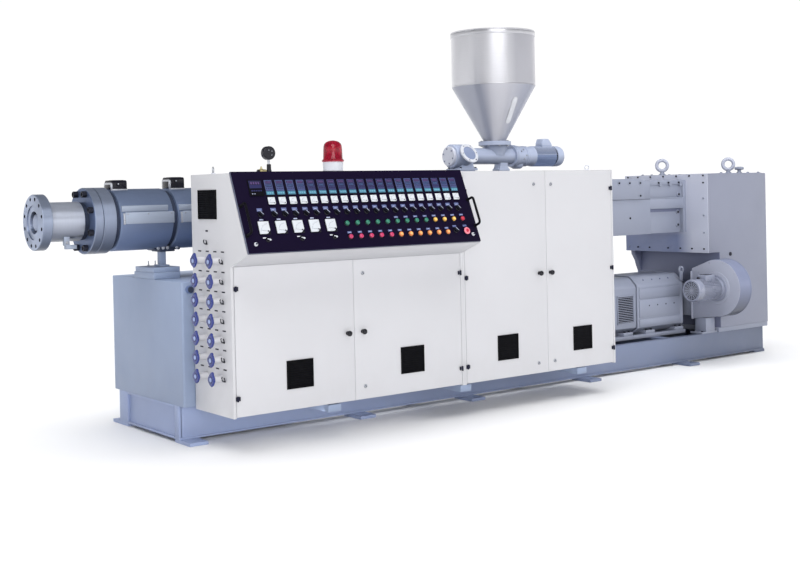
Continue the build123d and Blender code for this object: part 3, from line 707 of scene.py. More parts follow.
# small bracket screwed under the neck
P.box(COVER, -508, -480, YC - 66, YC - 44, 982, 1026, 2)
P.box(COVER, -500, -446, YC - 70, YC - 40, 964, 984, 2)
P.hexbolt(ZINC, (-494, YC - 66, 996), (0, -1, 0), 6, 5)
P.make("barrel_flange_finish", replaces=("barrel_flange",))

JACKETS = [(-254.0, 35.0), (58.0, 400.0), (440.0, 760.0), (800.0, 1120.0), (1160.0, 1480.0), (1520.0, 1840.0)]
P = Piece()
P.lathe(STEEL_DK, [(0, 0), (0, 120), (2835, 120), (2835, 0)], (-275, YC, ZC), (1, 0, 0), 64)
P.lathe(STEEL_DK, [(0, 100), (0, 147), (21, 147), (21, 100)], (-275, YC, ZC), (1, 0, 0), 96, closed=True)
P.lathe(STEEL_DK, [(0, 100), (0, 144), (23, 144), (23, 100)], (35, YC, ZC), (1, 0, 0), 96, closed=True)
P.make("barrel_finish", replaces=("barrel",))


def arc_plate(P, m, x0, x1, r0, r1, a0, a1, b=1.5, side=-1):
    """A strip bent round the barrel between two angles above the horizontal, on the front (-1) or rear."""
    n = max(4, int((a1 - a0) / 3))
    ang = [math.radians(a0 + (a1 - a0) * i / n) for i in range(n + 1)]
    pts = [(YC + side * r1 * math.cos(a), ZC + r1 * math.sin(a)) for a in ang]
    pts += [(YC + side * r0 * math.cos(a), ZC + r0 * math.sin(a)) for a in reversed(ang)]
    P.prism(m, pts, "X", x0, x1, b)


P = Piece()
for i, (a, b) in enumerate(JACKETS):
    L = b - a
    P.lathe(JACKET, [(0, 121), (0, 150), (3, 155), (9, 156), (L - 9, 156), (L - 3, 155), (L, 150), (L, 121)], (a, YC, ZC), (1, 0, 0), 96, closed=True)
    for side in (-1, 1):
        q = [(154, 1138.5), (155.5, 1166), (148, 1169), (140, 1169), (140, 1138.5)]
        P.prism(COVER, [(YC + side * y, z) for y, z in q], "X", a + 8, b - 31, 1.2)
        q = [(167, 1078), (166, 1135), (160, 1136), (140, 1136), (140, 1078)]
        P.prism(COVER, [(YC + side * y, z) for y, z in q], "X", a + 24, b - 3, 1.5)
        q = [(165, 1076), (162, 1132), (140, 1132), (140, 1076)]
        P.prism(STRAP, [(YC + side * y, z) for y, z in q], "X", a + 14, a + 25, 2.5)
        for x in (a + 36, (a + b) / 2, b - 18):
            P.capscrew(ZINC, (x, YC + side * 166, 1127), (0, side, 0), 4, 2.5)
P.make("heater_jackets_finish", replaces=("heater_jackets",))

P = Piece()
for xc, z1 in ((-206.0, 1298.0), (113.0, 1310.0), (600.0, 1304.0), (960.0, 1304.0), (1320.0, 1304.0), (1680.0, 1304.0)):
    P.prism(BLACK_GL, rpoly([(YC - 43, 1236), (YC + 43, 1236), (YC + 43, z1 - 1), (YC - 43, z1 - 1)], [0, 0, 14, 14], 5), "X", xc - 42, xc + 42, 5.0, 4)
    P.prism(STRAP, rpoly([(YC - 45, 1238), (YC + 45, 1238), (YC + 45, z1 - 12), (YC - 45, z1 - 12)], [0, 0, 10, 10], 4), "X", xc - 45, xc - 36, 2.0)
    P.prism(BLACK_GL, rpoly([(YC - 34, 1250), (YC + 34, 1250), (YC + 34, z1 - 22), (YC - 34, z1 - 22)], 6, 3), "X", xc - 46, xc - 40, 0.8)
    P.prism(STRAP, rpoly([(YC - 44.5, 1238), (YC + 44.5, 1238), (YC + 44.5, 1254), (YC - 44.5, 1254)], [0, 0, 3, 3], 3), "X", xc - 40, xc + 44, 1.5)
    P.prism(BLACK, rpoly([(YC - 32, z1 - 3), (YC + 32, z1 - 3), (YC + 28, z1), (YC - 28, z1)], 1.0, 2), "X", xc - 24, xc + 30, 1.0)
    P.bar(BLACK, (xc - 8, YC - 49, z1 - 20), (xc - 8, YC - 40, z1 - 20), 8, 1.5, 16)
    P.bar(STRAP, (xc - 8, YC - 51, z1 - 20), (xc - 8, YC - 48, z1 - 20), 4, 1, 14)
P.make("heater_terminal_boxes_finish", replaces=("heater_terminal_boxes",))

P = Piece()
P.prism(STEEL, rpoly(rect(YC - 180, YC + 180, 917, 1277), 6, 3), "X", 1900, 2260, 3.0)
for y in (YC - 150, YC + 150):
    for z in (950, 1244):
        for x, d in ((1900, -1), (2260, 1)):
            P.capscrew(BOLT, (x, y, z), (d, 0, 0), 12, 14)
P.make("feed_throat_finish", replaces=("feed_throat",))

# ------------------------------------------------------------------ cabinets
desk = [(CAB_D, CAB_Z0), (CAB_D, CAB_Z1), (TOP_Y, CAB_Z1), (LIP_Y, LIP_Z), (0, 876), (0, CAB_Z0)]
P = Piece()
P.prism(WHITE, desk, "X", 0, 15, 2.5, 3)
P.prism(WHITE, desk, "X", 1385, 1400, 1.2)
P.make("desk_ends_finish", replaces=("desk_ends",))
P = Piece()
P.box(WHITE, 1400, 1415, 0, CAB_D, CAB_Z0, CAB_Z1, 1.2)
P.box(WHITE, 2556, 2571, 0, CAB_D, CAB_Z0, CAB_Z1, 2.5, 3)
P.make("cabinet_walls_finish", replaces=("cabinet_walls", "cabinet_partition"))
P = Piece()
P.box(WHITE, 15, 1385, CAB_D - 15, CAB_D, CAB_Z0, CAB_Z1, 1.5)
P.box(WHITE, 1415, 2556, CAB_D - 15, CAB_D, CAB_Z0, CAB_Z1, 1.5)
for x0, x1 in ((40, 690), (710, 1360), (1440, 1975), (1996, 2531)):
    P.box(WHITE, x0, x1, CAB_D - 1, CAB_D + 3, 200, 1283, 1.5)
    for x in (x0 + 16, (x0 + x1) / 2, x1 - 16):
        for z in (216, 741, 1267):
            P.capscrew(ZINC, (x, CAB_D + 2.5, z), (0, 1, 0), 5, 3)
P.make("cabinet_backs_finish", replaces=("cabinet_backs",))
P = Piece()
P.box(WHITE, 15, 1385, 26, CAB_D - 15, CAB_Z0, CAB_Z0 + 15, 1.5)
P.box(WHITE, 1415, 2556, 26, CAB_D - 15, CAB_Z0, CAB_Z0 + 15, 1.5)
P.make("cabinet_floors_finish", replaces=("cabinet_floors",))
P = Piece()
P.box(WHITE, 15, 1385, 6, CAB_D - 15, CAB_Z1 - 15, CAB_Z1, 1.5)
P.box(WHITE, 1415, 2556, 26, CAB_D - 15, CAB_Z1 - 15, CAB_Z1, 1.5)
P.make("cabinet_tops_finish", replaces=("cabinet_tops",))


def onp(s, d):
    return (LIP_Y + UY * s + NY * d, LIP_Z + UZ * s + NZ * d)


P = Piece()
P.prism(WHITE, [(0, 876), (LIP_Y, LIP_Z), onp(14, 0), onp(8, -16), (24, 890), (24, 876)], "X", 15, 1385, 1.5)
P.make("desk_underside_finish", replaces=("desk_underside",))
# folded rebates behind the door gaps, the middle posts and the rim that the panel closes on
P = Piece()
for x0, x1, z1 in ((15, 1385, 890), (1415, 2556, 1297)):
    P.box(WHITE_IN, x0, x0 + 16, 26, 29, 186, z1, 0.6)
    P.box(WHITE_IN, x1 - 16, x1, 26, 29, 186, z1, 0.6)
P.box(WHITE_IN, 31, 1369, 26, 29, 858, 890, 0.6)
P.box(WHITE_IN, 668, 712, 26.5, 50, 186, 890, 1.0)
P.box(WHITE_IN, 1999, 2043, 26.5, 50, 186, 1297, 1.0)
P.make("cabinet_rebates")

# ------------------------------------------------------------------ doors
DOORS = {
    "door_1": (20.5, 687.0, 870.5, 366.0, 648.0, 514.0, [], 1),
    "door_2": (692.5, 1379.5, 870.5, 1051.0, 739.0, 516.0, [(747.0, 807.0), (750.0, 241.0)], -1),
    "door_3": (1420.5, 2018.0, 1310.0, 1715.0, 1960.0, 736.0, [(1931.0, 1236.0), (1946.0, 233.0)], 1),
    "door_4": (2023.5, 2550.5, 1310.0, 2296.0, 2046.0, 736.0, [(2063.0, 1234.0), (2071.0, 234.0)], -1),
}


INSIDE = frame_at((0, 20, 0), (-1, 0, 0), (0, 0, 1), (0, 1, 0))


def vent(P, x0, x1, z0, z1, T, deep=5.0):
    """A louvred filter cover: a bevelled frame and tilted slats over a near-black back, painted shade behind the slats.
    """
    w = 7.0
    P.box(DARK, x0 + 2, x1 - 2, z0 + 2, z1 - 2, 0.2, 1.2, 0.0, T=T)
    P.plate(VENT, rect(x0, x1, z0, z1), rect(x0 + w, x1 - w, z0 + w, z1 - w), "Z", 0, deep, T=T)
    n = 11
    pitch = (z1 - z0 - 2 * w) / n
    for i in range(n):
        zc = z0 + w + (i + 0.5) * pitch
        pts = [(zc - pitch * 0.46, 1.0), (zc - pitch * 0.30, 1.0), (zc + pitch * 0.42, deep - 1.0), (zc + pitch * 0.30, deep - 0.2)]
        P.prism(VENT, pts, "X", x0 + w, x1 - w, 0.0, T=T @ frame_at((0, 0, 0), (1, 0, 0), (0, 1, 0), (0, 0, 1)))


for name, (x0, x1, z1, vx, kx, kz, locks, side) in DOORS.items():
    P = Piece()
    P.box(WHITE, x0 - (3.4 if side > 0 else 1.8), x1 + (1.8 if side > 0 else 3.4), 0, 20, 177, z1 + (5 if z1 < 900 else 0), 1.2, 3)
    P.make(name + "_finish", name, (name,))
    P = Piece()
    vent(P, vx - 75, vx + 75, 276, 413, FRONT)
    # knob on a short neck with a collar
    P.lathe(BLACK_GL, [(0, 0), (0, 10), (2, 10), (3, 7), (8, 7), (10, 10), (14, 13), (19, 14.2), (24, 13.4), (28, 10.5), (30.5, 6), (31, 0)], (kx, 0, kz), (0, -1, 0), 32)
    for lx, lz in locks:
        P.lathe(ZINC, [(0, 0), (0, 10), (2, 10), (3, 8.5), (6, 8), (6, 0)], (lx, 0, lz), (0, -1, 0), 24)
        P.box(BOLT, lx - 1.6, lx + 1.6, lz - 6.5, lz + 6.5, 4.5, 6.4, 0.4, T=FRONT @ Matrix.Translation((lx, lz, 0)) @ Matrix.Rotation(0.5, 4, "Z") @ Matrix.Translation((-lx, -lz, 0)))
    P.make(name + "_fittings_finish", name, (name + "_fittings",))
    # back of the filter, on the inside of the door
    P = Piece()
    vent(P, -vx - 75, 75 - vx, 276, 413, INSIDE, 4.0)
    P.make(name + "_vent_back", name)

# hinges: a knuckle with one leaf on the frame and one on the door
HINGES = {"door_1": (20.0, 1, (774.0, 263.0)), "door_2": (1380.0, -1, (772.0, 263.0)),
          "door_3": (1420.0, 1, (1204.0, 741.0, 266.0)), "door_4": (2551.0, -1, (1204.0, 736.0, 263.0))}
F = Piece()
for name, (hx, side, zs) in HINGES.items():
    P = Piece()
    for z in zs:
        a, b = sorted((hx + side * 8.5, hx + side * 14))
        P.box(HINGE, a, b, -8, 0, z - 10, z + 10, 1.2)
        F.bar(HINGE, (hx, -8, z - 13), (hx, -8, z + 13), 5.2, 1.5, 20)
        a, b = sorted((hx - side * 4, hx - side * 8))
        F.box(HINGE, a, b, -7, 0, z - 10, z + 10, 1.2)
    P.make(name + "_hinge_leaves", name)
F.make("door_hinge_knuckles")

# ------------------------------------------------------------------ left end of the console
P = Piece()
P.T = LEFT
# near-black back behind the louvres: painted shade
P.box(DARK, 122, 298, 1100, 1235, 0.2, 1.2, 0.0)
P.plate(VENT, rect(120, 300, 1098, 1237), rect(126, 294, 1104, 1231), "Z", 0, 5)
for i in range(12):
    z = 1104 + (i + 0.5) * 127 / 12
    P.box(VENT, 126, 294, z - 2.6, z + 2.6, 0.8, 3.4, 0.8)
for i in range(16):
    y = 126 + (i + 0.5) * 168 / 16
    P.box(VENT, y - 1.4, y + 1.4, 1104, 1231, 0.6, 3.0, 0.5)
P.box(INK, 212, 234, 1038, 1046, 0, 1.2, 0.4)
ROWS = [901, 806, 713, 622, 531, 440, 349]
for z in ROWS:
    for y in (298, 221, 147, 73):
        P.box(INK, y - 15, y + 15, z + 40.5, z + 47, 0, 1.2, 0.4)
for y, z in [(225, 990)] + [(77, z) for z in ROWS]:
    pts = [(y + 15 * math.cos(a), z + 11 * math.sin(a), 9 + 2 * math.sin(a)) for a in (math.radians(-230 + 290 * i / 16) for i in range(17))]
    P.rod(BOLT, pts, 2.5, 8)
    P.lathe(BOLT, [(0, 0), (0, 5), (6, 4), (9, 3), (9, 0)], (y - 2, z - 10, 0), (0, 0, 1), 14)
P.make("left_end_fittings")

P = Piece()
P.T = LEFT
for z in ROWS:
    for y in (258.0, 107.0):
        P.lathe(WHITE, [(0, 0), (0, 20), (3, 20), (4, 17), (40, 16), (52, 16.5), (52, 0)], (y, z, 0), (0, 0, 1), 32)
        leaf = rpoly([(y - 3, z - 34), (y + 14, z - 25), (y + 31, z - 7), (y + 30, z + 8), (y + 14, z + 23), (y - 2, z + 36), (y - 12, z + 38),
                      (y - 18, z + 33), (y - 21, z + 22), (y - 31, z + 9), (y - 32, z - 6), (y - 18, z - 25)], [8, 10, 12, 12, 10, 5, 4, 5, 8, 12, 12, 10], 4)
        P.prism(BLUE, leaf, "Z", 50, 60, 3.5, 4)
        P.lathe(BLUE_DK, [(58, 0), (58, 17), (60.5, 17), (61.3, 15), (61.3, 13), (60, 12.6), (60, 0)], (y, z, 0), (0, 0, 1), 36)
        P.lathe(BLUE_LT, [(59, 0), (59, 10.6), (61, 10.6), (62, 8), (62, 0)], (y, z, 0), (0, 0, 1), 28)
P.make("wing_sockets_finish", replaces=("wing_sockets",))

# ------------------------------------------------------------------ control panel
P = Piece()
P.T = PANEL
P.box(TRIM, 0, 1386, 0, SLOPE, 6, 16.5, 1.2)
P.box(PANEL_BK, 1.5, 1384.5, 1.5, SLOPE - 1.5, 16, 20, 1.2)
P.make("control_panel_finish", "control_panel", ("control_panel",))

D = 20.0     # face of the panel
P = Piece()
P.T = PANEL
# controller at the left
P.box(HANDLE, 74, 151, 280, 362, D - 1, D + 5, 2)
P.box(INSTR3, 80, 145, 318, 356, D + 4, D + 5.6, 0.6)
P.box(INK, 84, 141, 336, 352, D + 5, D + 6.2, 0.4)
for i in range(4):
    P.box(DIGIT_R, 88 + 13 * i, 96 + 13 * i, 338, 349, D + 6, D + 6.6, 0.3)
for i in range(5):
    P.box(INSTR3, 84 + 12 * i, 93 + 12 * i, 302, 309, D + 4.5, D + 6.5, 0.8)
for x in (88, 100):
    P.bar(PLATE_LT, (x, 290, D + 4), (x, 290, D + 7), 2.4, 0.8, 14)
# twenty tall instruments with a pale strip at the foot
for i in range(20):
    a = 162 + 58.8 * i
    P.box(BLACK_GL, a - 3, a + 45, 281, 361, D - 1, D + 5, 1.8)
    face = INSTR if i in (0, 1, 2, 3, 13, 14, 15, 16, 18, 19) else INSTR2
    P.box(face, a, a + 42, 303, 358, D + 4, D + 6, 0.8)
    P.box(TEAL, a, a + 42, 284, 302, D + 4, D + 6.2, 0.8)
    P.box(INK, a + 5, a + 37, 340, 353, D + 5.6, D + 6.4, 0.3)
    P.box(INK, a + 5, a + 37, 323, 336, D + 5.6, D + 6.4, 0.3)
    for j in range(4):
        P.box(DIGIT_R, a + 8 + 7 * j, a + 12.5 + 7 * j, 342, 351, D + 6.2, D + 6.8, 0.2)
        P.box(DIGIT_G, a + 8 + 7 * j, a + 12.5 + 7 * j, 325, 334, D + 6.2, D + 6.8, 0.2)
    for j in range(4):
        P.bar(INK, (a + 7 + 9.4 * j, 315, D + 5.6), (a + 7 + 9.4 * j, 315, D + 7), 2.6, 0.6, 12)
    for j in range(3):
        P.box(TEAL_LT, a + 5 + 12 * j, a + 13 + 12 * j, 289, 296, D + 5.8, D + 7, 0.6)
P.make("temperature_instruments", "control_panel")

P = Piece()
P.T = PANEL


def meter(P, x0, x1, s0, s1, big):
    """A square moving-needle meter: white face, arc scale, needle and corner cover."""
    w, h = x1 - x0, s1 - s0
    P.box(BLACK_GL, x0 - 2, x1 + 2, s0 - 2, s1 + 2, D - 1, D + 4, 1.5)
    c = w * 0.30 if big else w * 0.12
    face = [(x0, s0), (x1 - c, s0), (x1, s0 + c), (x1, s1), (x0, s1)]
    P.prism(METER, rpoly(face, 1.5, 2), "Z", D + 3.5, D + (9 if big else 7), 1.2)
    top = D + (9 if big else 7)
    px, ps = x1 - w * 0.20, s0 + h * 0.20
    r = w * 0.62
    for i in range(9):
        a = math.radians(92 + 86 * i / 8)
        r1 = r + (0.10 * w if i % 4 == 0 else 0.06 * w)
        q = [(px + r * math.cos(a), ps + r * math.sin(a), top + 0.1), (px + r1 * math.cos(a), ps + r1 * math.sin(a), top + 0.1)]
        P.rod(INK2, q, 0.45 if big else 0.38, 4)
    arc = [(px + r * math.cos(a), ps + r * math.sin(a), top + 0.1) for a in (math.radians(92 + 86 * i / 12) for i in range(13))]
    P.rod(INK2, arc, 0.4 if big else 0.35, 4)
    a = math.radians(172)
    P.rod(INK, [(px, ps, top + 0.4), (px + r * 0.94 * math.cos(a), ps + r * 0.94 * math.sin(a), top + 0.4)], 0.5, 4)
    P.bar(INK, (px, ps, top - 0.5), (px, ps, top + 1.4), w * 0.07, 0.6, 14)


for i in range(20):
    a = 162 + 58.8 * i
    meter(P, a, a + 38, 235, 271, False)
for x in (78, 171, 263, 355, 448):
    meter(P, x, x + 56, 90, 151, True)
    P.box(PLATE_LT, x + 16, x + 36, 159, 165, D - 0.5, D + 1.2, 0.4)
P.make("needle_meters", "control_panel")

P = Piece()
P.T = PANEL


def selector(P, x, s, legend=True):
    """A turning switch with a legend plate above and a white line on its grip."""
    if legend:
        P.box(PLATE, x - 14, x + 14, s + 15, s + 31, D - 0.5, D + 1.5, 0.6)
        P.box(PLATE_LT, x - 10, x + 6, s + 20, s + 23, D + 1.2, D + 1.9, 0.2)
    P.lathe(BLACK_GL, [(0, 0), (0, 15), (4, 15), (6, 13.5), (6, 11.5), (9, 11), (9, 0)], (x, s, D - 0.5), (0, 0, 1), 28)
    R = Matrix.Translation((x, s, 0)) @ Matrix.Rotation(math.radians(42), 4, "Z")
    P.box(BLACK, -4.5, 4.5, -12.5, 12.8, D + 8, D + 20, 1.5, T=R)
    P.box(PLATE_LT, -1.2, 1.2, -8, 11.5, D + 19.2, D + 20.6, 0.2, T=R)


def button(P, x, s, m, m2=None, r=12.0, legend=False, dome=6.0):
    """A lit push button in a turned ring."""
    if legend:
        P.box(PLATE, x - 12, x + 12, s + 18, s + 28, D - 0.5, D + 1.5, 0.6)
        P.box(PLATE_LT, x - 8, x + 8, s + 21.5, s + 24, D + 1.2, D + 1.9, 0.2)
    P.lathe(BLACK_GL, [(0, 0), (0, r + 3.5), (3, r + 3.5), (5, r + 2), (5, r - 0.5), (2, r - 0.5), (2, 0)], (x, s, D - 0.5), (0, 0, 1), 32)
    P.lathe(m, [(1, 0), (1, r - 0.8), (8, r - 0.8), (8 + dome * 0.45, r * 0.86), (8 + dome * 0.8, r * 0.6), (8 + dome, r * 0.3), (8 + dome, 0)], (x, s, D), (0, 0, 1), 32)
    if m2 is not None:
        P.lathe(m2, [(8 + dome * 0.5, 0), (8 + dome * 0.5, r * 0.62), (8 + dome * 0.9, r * 0.5), (8 + dome * 1.1, r * 0.25), (8 + dome * 1.12, 0)], (x, s, D), (0, 0, 1), 28)


selector(P, 106, 188)
for i in range(20):
    selector(P, 180 + 58.4 * i, 188)
for i in range(9):
    x = 572 + (1059 - 572) * i / 8
    button(P, x, 128, GREEN, legend=x > 860)
for x in (1118, 1179, 1241):
    button(P, x, 128, YELLOW, YEL_C, legend=True)
button(P, 1300, 128, REDB, legend=True)
for i in range(5):
    button(P, 574 + 61.2 * i, 58, PINK, legend=True)
for i in range(6):
    button(P, 878 + 60.2 * i, 58, ORANGE, ORA_C, legend=True, r=13.0)
selector(P, 1234, 66, legend=False)
P.box(PLATE, 1222, 1246, 84, 94, D - 0.5, D + 1.5, 0.6)
# stop button: low mushroom head with a pale ring
P.lathe(BLACK_GL, [(0, 0), (0, 15), (6, 15), (6, 0)], (1303, 58, D - 0.3), (0, 0, 1), 36)
P.lathe(PINK_LT, [(5, 0), (5, 16), (7, 18.5), (11, 18.5), (14, 16), (15, 12), (13, 9.5), (13, 0)], (1303, 58, D), (0, 0, 1), 40)
P.lathe(REDB, [(12, 0), (12, 9.2), (15, 8.6), (17, 5), (17.5, 0)], (1303, 58, D), (0, 0, 1), 32)
P.box(PLATE, 1291, 1315, 84, 94, D - 0.5, D + 1.5, 0.6)
# lever switches
for x in (115, 299, 483):
    P.box(PALE, x - 24, x - 4, 70, 75, D - 0.5, D + 1.2, 0.4)
    P.lathe(BLACK_GL, [(0, 0), (0, 13), (4, 13), (6, 11), (6, 0)], (x, 63, D - 0.5), (0, 0, 1), 28)
    P.rod(METER, [(x - 3, 66, D + 5), (x, 63, D + 9), (x + 4, 60, D + 12)], 2.2, 12, 4)
    P.lathe(METER, [(-5.5, 0), (-5, 2.4), (-2, 4.0), (2, 4.4), (4.5, 3.2), (6, 0)], (x + 5, 59, D + 12), (0.68, -0.7, 0.25), 20)
# key locks
for x, s in ((46, 43), (1344, 40)):
    P.lathe(METER, [(0, 0), (0, 9.5), (3, 9.5), (6, 8.8), (9, 7), (10, 6), (10, 0)], (x, s, D - 0.5), (0, 0, 1), 32)
    P.lathe(STEEL_DK, [(9, 0), (9, 5), (12, 4.4), (12, 0)], (x, s, D - 0.5), (0, 0, 1), 28)
    P.box(INK, x - 1.0, x + 1.0, s - 3.6, s + 3.6, D + 10.8, D + 12.2, 0.2)
P.make("panel_switches", "control_panel")

P = Piece()
P.T = PANEL
for x in (12.0, 1374.0):
    P.rod(HANDLE, [(x, 86, D - 1), (x, 86, D + 45.5), (x, 232, D + 45.5), (x, 232, D - 1)], 6.4, 14, 16)
    for h in (86, 232):
        P.lathe(HANDLE, [(0, 0), (0, 10), (3, 10), (5, 8), (5, 0)], (x, h, D - 0.3), (0, 0, 1), 24)
P.make("panel_handles_finish", "control_panel", ("panel_handles",))

# ------------------------------------------------------------------ fittings on the cabinet tops
P = Piece()
gx, gy, gz = 275.0, 100.0, 1409.0
P.lathe(BLACK_GL, [(-16, 0), (-16, 30), (-14, 32.5), (-10, 33), (12, 33), (15, 31.5), (16, 29), (16, 28), (13.5, 27.5), (13.5, 0)], (gx, gy, gz), (0, 1, 0), 56)
P.lathe(METER, [(13, 0), (13, 27), (14, 27), (14, 0)], (gx, gy, gz), (0, 1, 0), 48)
for i in range(11):
    a = math.radians(-45 + 27 * i)
    d = Vector((math.cos(a), 0, math.sin(a)))
    o = Vector((gx, gy + 14.2, gz))
    P.rod(INK, [o + d * 20, o + d * 25], 0.7, 5)
P.rod(REDB, [(gx, gy + 14.6, gz), (gx - 14, gy + 14.6, gz + 13)], 0.8, 6)
P.bar(BOLT, (gx, gy + 13.5, gz), (gx, gy + 16, gz), 3, 0.6, 14)
for i in range(3):
    a = math.radians(20 + 75 * i - 60)
    P.capscrew(ZINC, (gx + 15 * math.cos(a), gy - 15.8, gz + 15 * math.sin(a)), (0, -1, 0), 3, 2)
P.lathe(BLACK_GL, [(0, 0), (0, 14), (12, 13), (18, 11), (42, 10.5), (44, 9), (44, 0)], (gx + 3, gy, CAB_Z1 - 0.5), (0, 0, 1), 28)
P.lathe(STRAP, [(42, 0), (42, 6), (70, 6), (70, 0)], (gx + 2, gy, CAB_Z1), (0, 0, 1), 24)
P.lathe(STRAP, [(52, 0), (52, 8), (60, 8), (60, 0)], (gx + 2, gy, CAB_Z1), (0, 0, 1), 6)
P.make("pressure_gauge_finish", replaces=("pressure_gauge",))
P = Piece()
P.lathe(BRASS, [(0, 0), (0, 13), (6, 13), (8, 9), (16, 9), (18, 12), (20, 12), (22, 5), (30, 4), (34, 2), (34, 0)], (235, gy, CAB_Z1 - 0.5), (0, 0, 1), 24)
P.bar(BRASS, (214, gy, CAB_Z1 + 11), (262, gy, CAB_Z1 + 11), 7.5, 1.5, 20)
P.bar(BLACK_GL, (213, gy, CAB_Z1 + 8), (224, gy, CAB_Z1 + 8), 10, 1.5, 8)
P.make("gauge_valve")
P = Piece()
P.lathe(PALE, [(0, 0), (0, 49), (2, 50), (50, 52), (56, 52), (58, 50), (58, 0)], (712, 190, CAB_Z1 - 0.5), (0, 0, 1), 56)
P.lathe(WHITE_IN, [(11, 49.8), (11, 51.6), (13, 51.6), (13, 49.8)], (712, 190, CAB_Z1), (0, 0, 1), 56, closed=True)
P.make("beacon_base_finish", replaces=("beacon_base",))
P = Piece()
P.lathe(LENS, [(0, 0), (0, 55), (3, 57), (8, 56.5), (11, 52), (14, 50), (60, 48.5), (78, 47), (90, 43), (99, 34), (104, 24), (107, 12), (108, 0)], (712, 190, 1370), (0, 0, 1), 64)
P.lathe(LENS_DK, [(0, 0), (0, 56.6), (2, 57), (7, 56.6), (8, 55), (8, 0)], (712, 190, 1369.8), (0, 0, 1), 64)
P.make("beacon_lamp_finish", replaces=("beacon_lamp",))
P = Piece()
P.lathe(STRAP, [(0, 0), (0, 30), (4, 30), (6, 8), (40, 7), (40, 0)], (712, 190, 1378.5), (0, 0, 1), 32)
P.lathe(PINK_LT, [(40, 0), (40, 8), (48, 12), (60, 12), (68, 7), (70, 0)], (712, 190, 1378.5), (0, 0, 1), 28)
P.prism(STRAP, [(-30, 1386), (30, 1386), (24, 1452), (-24, 1452)], "X", 726, 728, 0.5, T=Matrix.Translation((0, 190, 0)))
P.make("beacon_inside")
P = Piece()
for x, axis, tone in ((24.0, (0.798, -0.603, 0), STRAP), (2556.0, (0.603, 0.798, 0), PALE)):
    P.bar(PALE, (x, 190, CAB_Z1 - 1), (x, 190, CAB_Z1 + 8), 6, 1, 16)
    P.lathe(PALE, [(0, 0), (0, 11), (4, 11), (6, 9), (6, 0)], (x, 190, CAB_Z1 - 0.5), (0, 0, 1), 24)
    P.torus(tone, (x, 190, CAB_Z1 + 19), axis, 13, 3.6, 32, 10)
P.make("cabinet_lifting_eyes")

# ------------------------------------------------------------------ hopper and feeder
HX = 2352.0
P = Piece()
P.lathe(STAIN, [(1858, 259), (1858, 262), (1861, 263), (2168, 263), (2190, 263), (2190, 258), (1860, 258)], (HX, YC, 0), (0, 0, 1), 128, closed=True)
P.lathe(STAIN_LID, [(2166, 262), (2166, 265.5), (2169, 266.5), (2187, 266.5), (2189.5, 265), (2189.5, 262)], (HX, YC, 0), (0, 0, 1), 128, closed=True)
P.lathe(STAIN, [(1857, 259), (1857, 263), (1858.5, 264), (1861.5, 264), (1863, 263), (1863, 259)], (HX, YC, 0), (0, 0, 1), 128, closed=True)
P.make("hopper_cylinder_finish", replaces=("hopper_cylinder",))
P = Piece()
P.lathe(STAIN_CONE, [(1514, 69), (1858, 263), (1858, 258), (1514, 64)], (HX, YC, 0), (0, 0, 1), 128, closed=True)
P.make("hopper_cone_finish", replaces=("hopper_cone",))
P = Piece()
P.lathe(STAIN_LID, [(2190, 0), (2190, 266), (2192, 267), (2197, 267), (2198, 265.5), (2198, 0)], (HX, YC, 0), (0, 0, 1), 128)
P.make("hopper_lid_finish", replaces=("hopper_lid",))


def on_cone(a, z, out):
    """A point on the cone at angle a (degrees from +X towards -Y), height z, a little out of the sheet."""
    k = (263.0 - 69.0) / (1858.0 - 1514.0)
    r = 69.0 + k * (z - 1514.0)
    n = Vector((1, 0, -k)).normalized()
    rad, zz = r + n.x * out, z + n.z * out
    t = math.radians(a)
    return Vector((HX + rad * math.cos(t), YC - rad * math.sin(t), zz))


def cone_strip(P, m, a, z0, z1, half, thick):
    """A long rounded strip lying on the cone."""
    bm = bmesh.new()
    base, top = [], []
    outline = []
    n = 10
    rr = half
    for i in range(n + 1):
        t = math.pi * i / n
        outline.append((rr * math.cos(t), z1 + rr * math.sin(t)))
    for i in range(n + 1):
        t = math.pi + math.pi * i / n
        outline.append((rr * math.cos(t), z0 + rr * math.sin(t)))
    for w, z in outline:
        k = (263.0 - 69.0) / (1858.0 - 1514.0)
        r = 69.0 + k * (z - 1514.0)
        da = math.degrees(w / r)
        base.append(bm.verts.new(on_cone(a + da, z, -0.5)))
        top.append(bm.verts.new(on_cone(a + da, z, thick)))
    bm.faces.new(base)
    bm.faces.new(list(reversed(top)))
    for i in range(len(base)):
        j = (i + 1) % len(base)
        bm.faces.new((base[i], base[j], top[j], top[i]))
    P.push(bm, m)


P = Piece()
cone_strip(P, STAIN_LID, 93.5, 1640, 1760, 20, 2)
cone_strip(P, SIGHT, 93.5, 1640, 1760, 16, 3.5)
P.make("hopper_sight_strip")

FZ = 1420.0
P = Piece()
P.lathe(FEEDP, [(1487, 60), (1487, 101), (1489, 103), (1511, 103), (1513.5, 101), (1513.5, 60)], (HX, YC, 0), (0, 0, 1), 72, closed=True)
P.lathe(FEEDP, [(1424, 48), (1424, 62), (1440, 64), (1470, 74), (1480, 80), (1487, 88), (1487, 62), (1470, 58)], (HX, YC, 0), (0, 0, 1), 72, closed=True)
for i in range(8):
    a = 2 * math.pi * (i + 0.5) / 8
    P.hexbolt(ZINC, (HX + 88 * math.cos(a), YC + 88 * math.sin(a), 1513), (0, 0, 1), 7, 6)
    P.hexbolt(ZINC, (HX + 90 * math.cos(a), YC + 90 * math.sin(a), 1487.5), (0, 0, -1), 6, 6)
P.make("feeder_inlet_finish", replaces=("feeder_inlet",))
P = Piece()
P.lathe(FEEDP, [(2088, 0), (2088, 51), (2482, 51), (2482, 66), (2484, 68), (2490, 68), (2490, 0)], (0, YC, FZ), (1, 0, 0), 64)
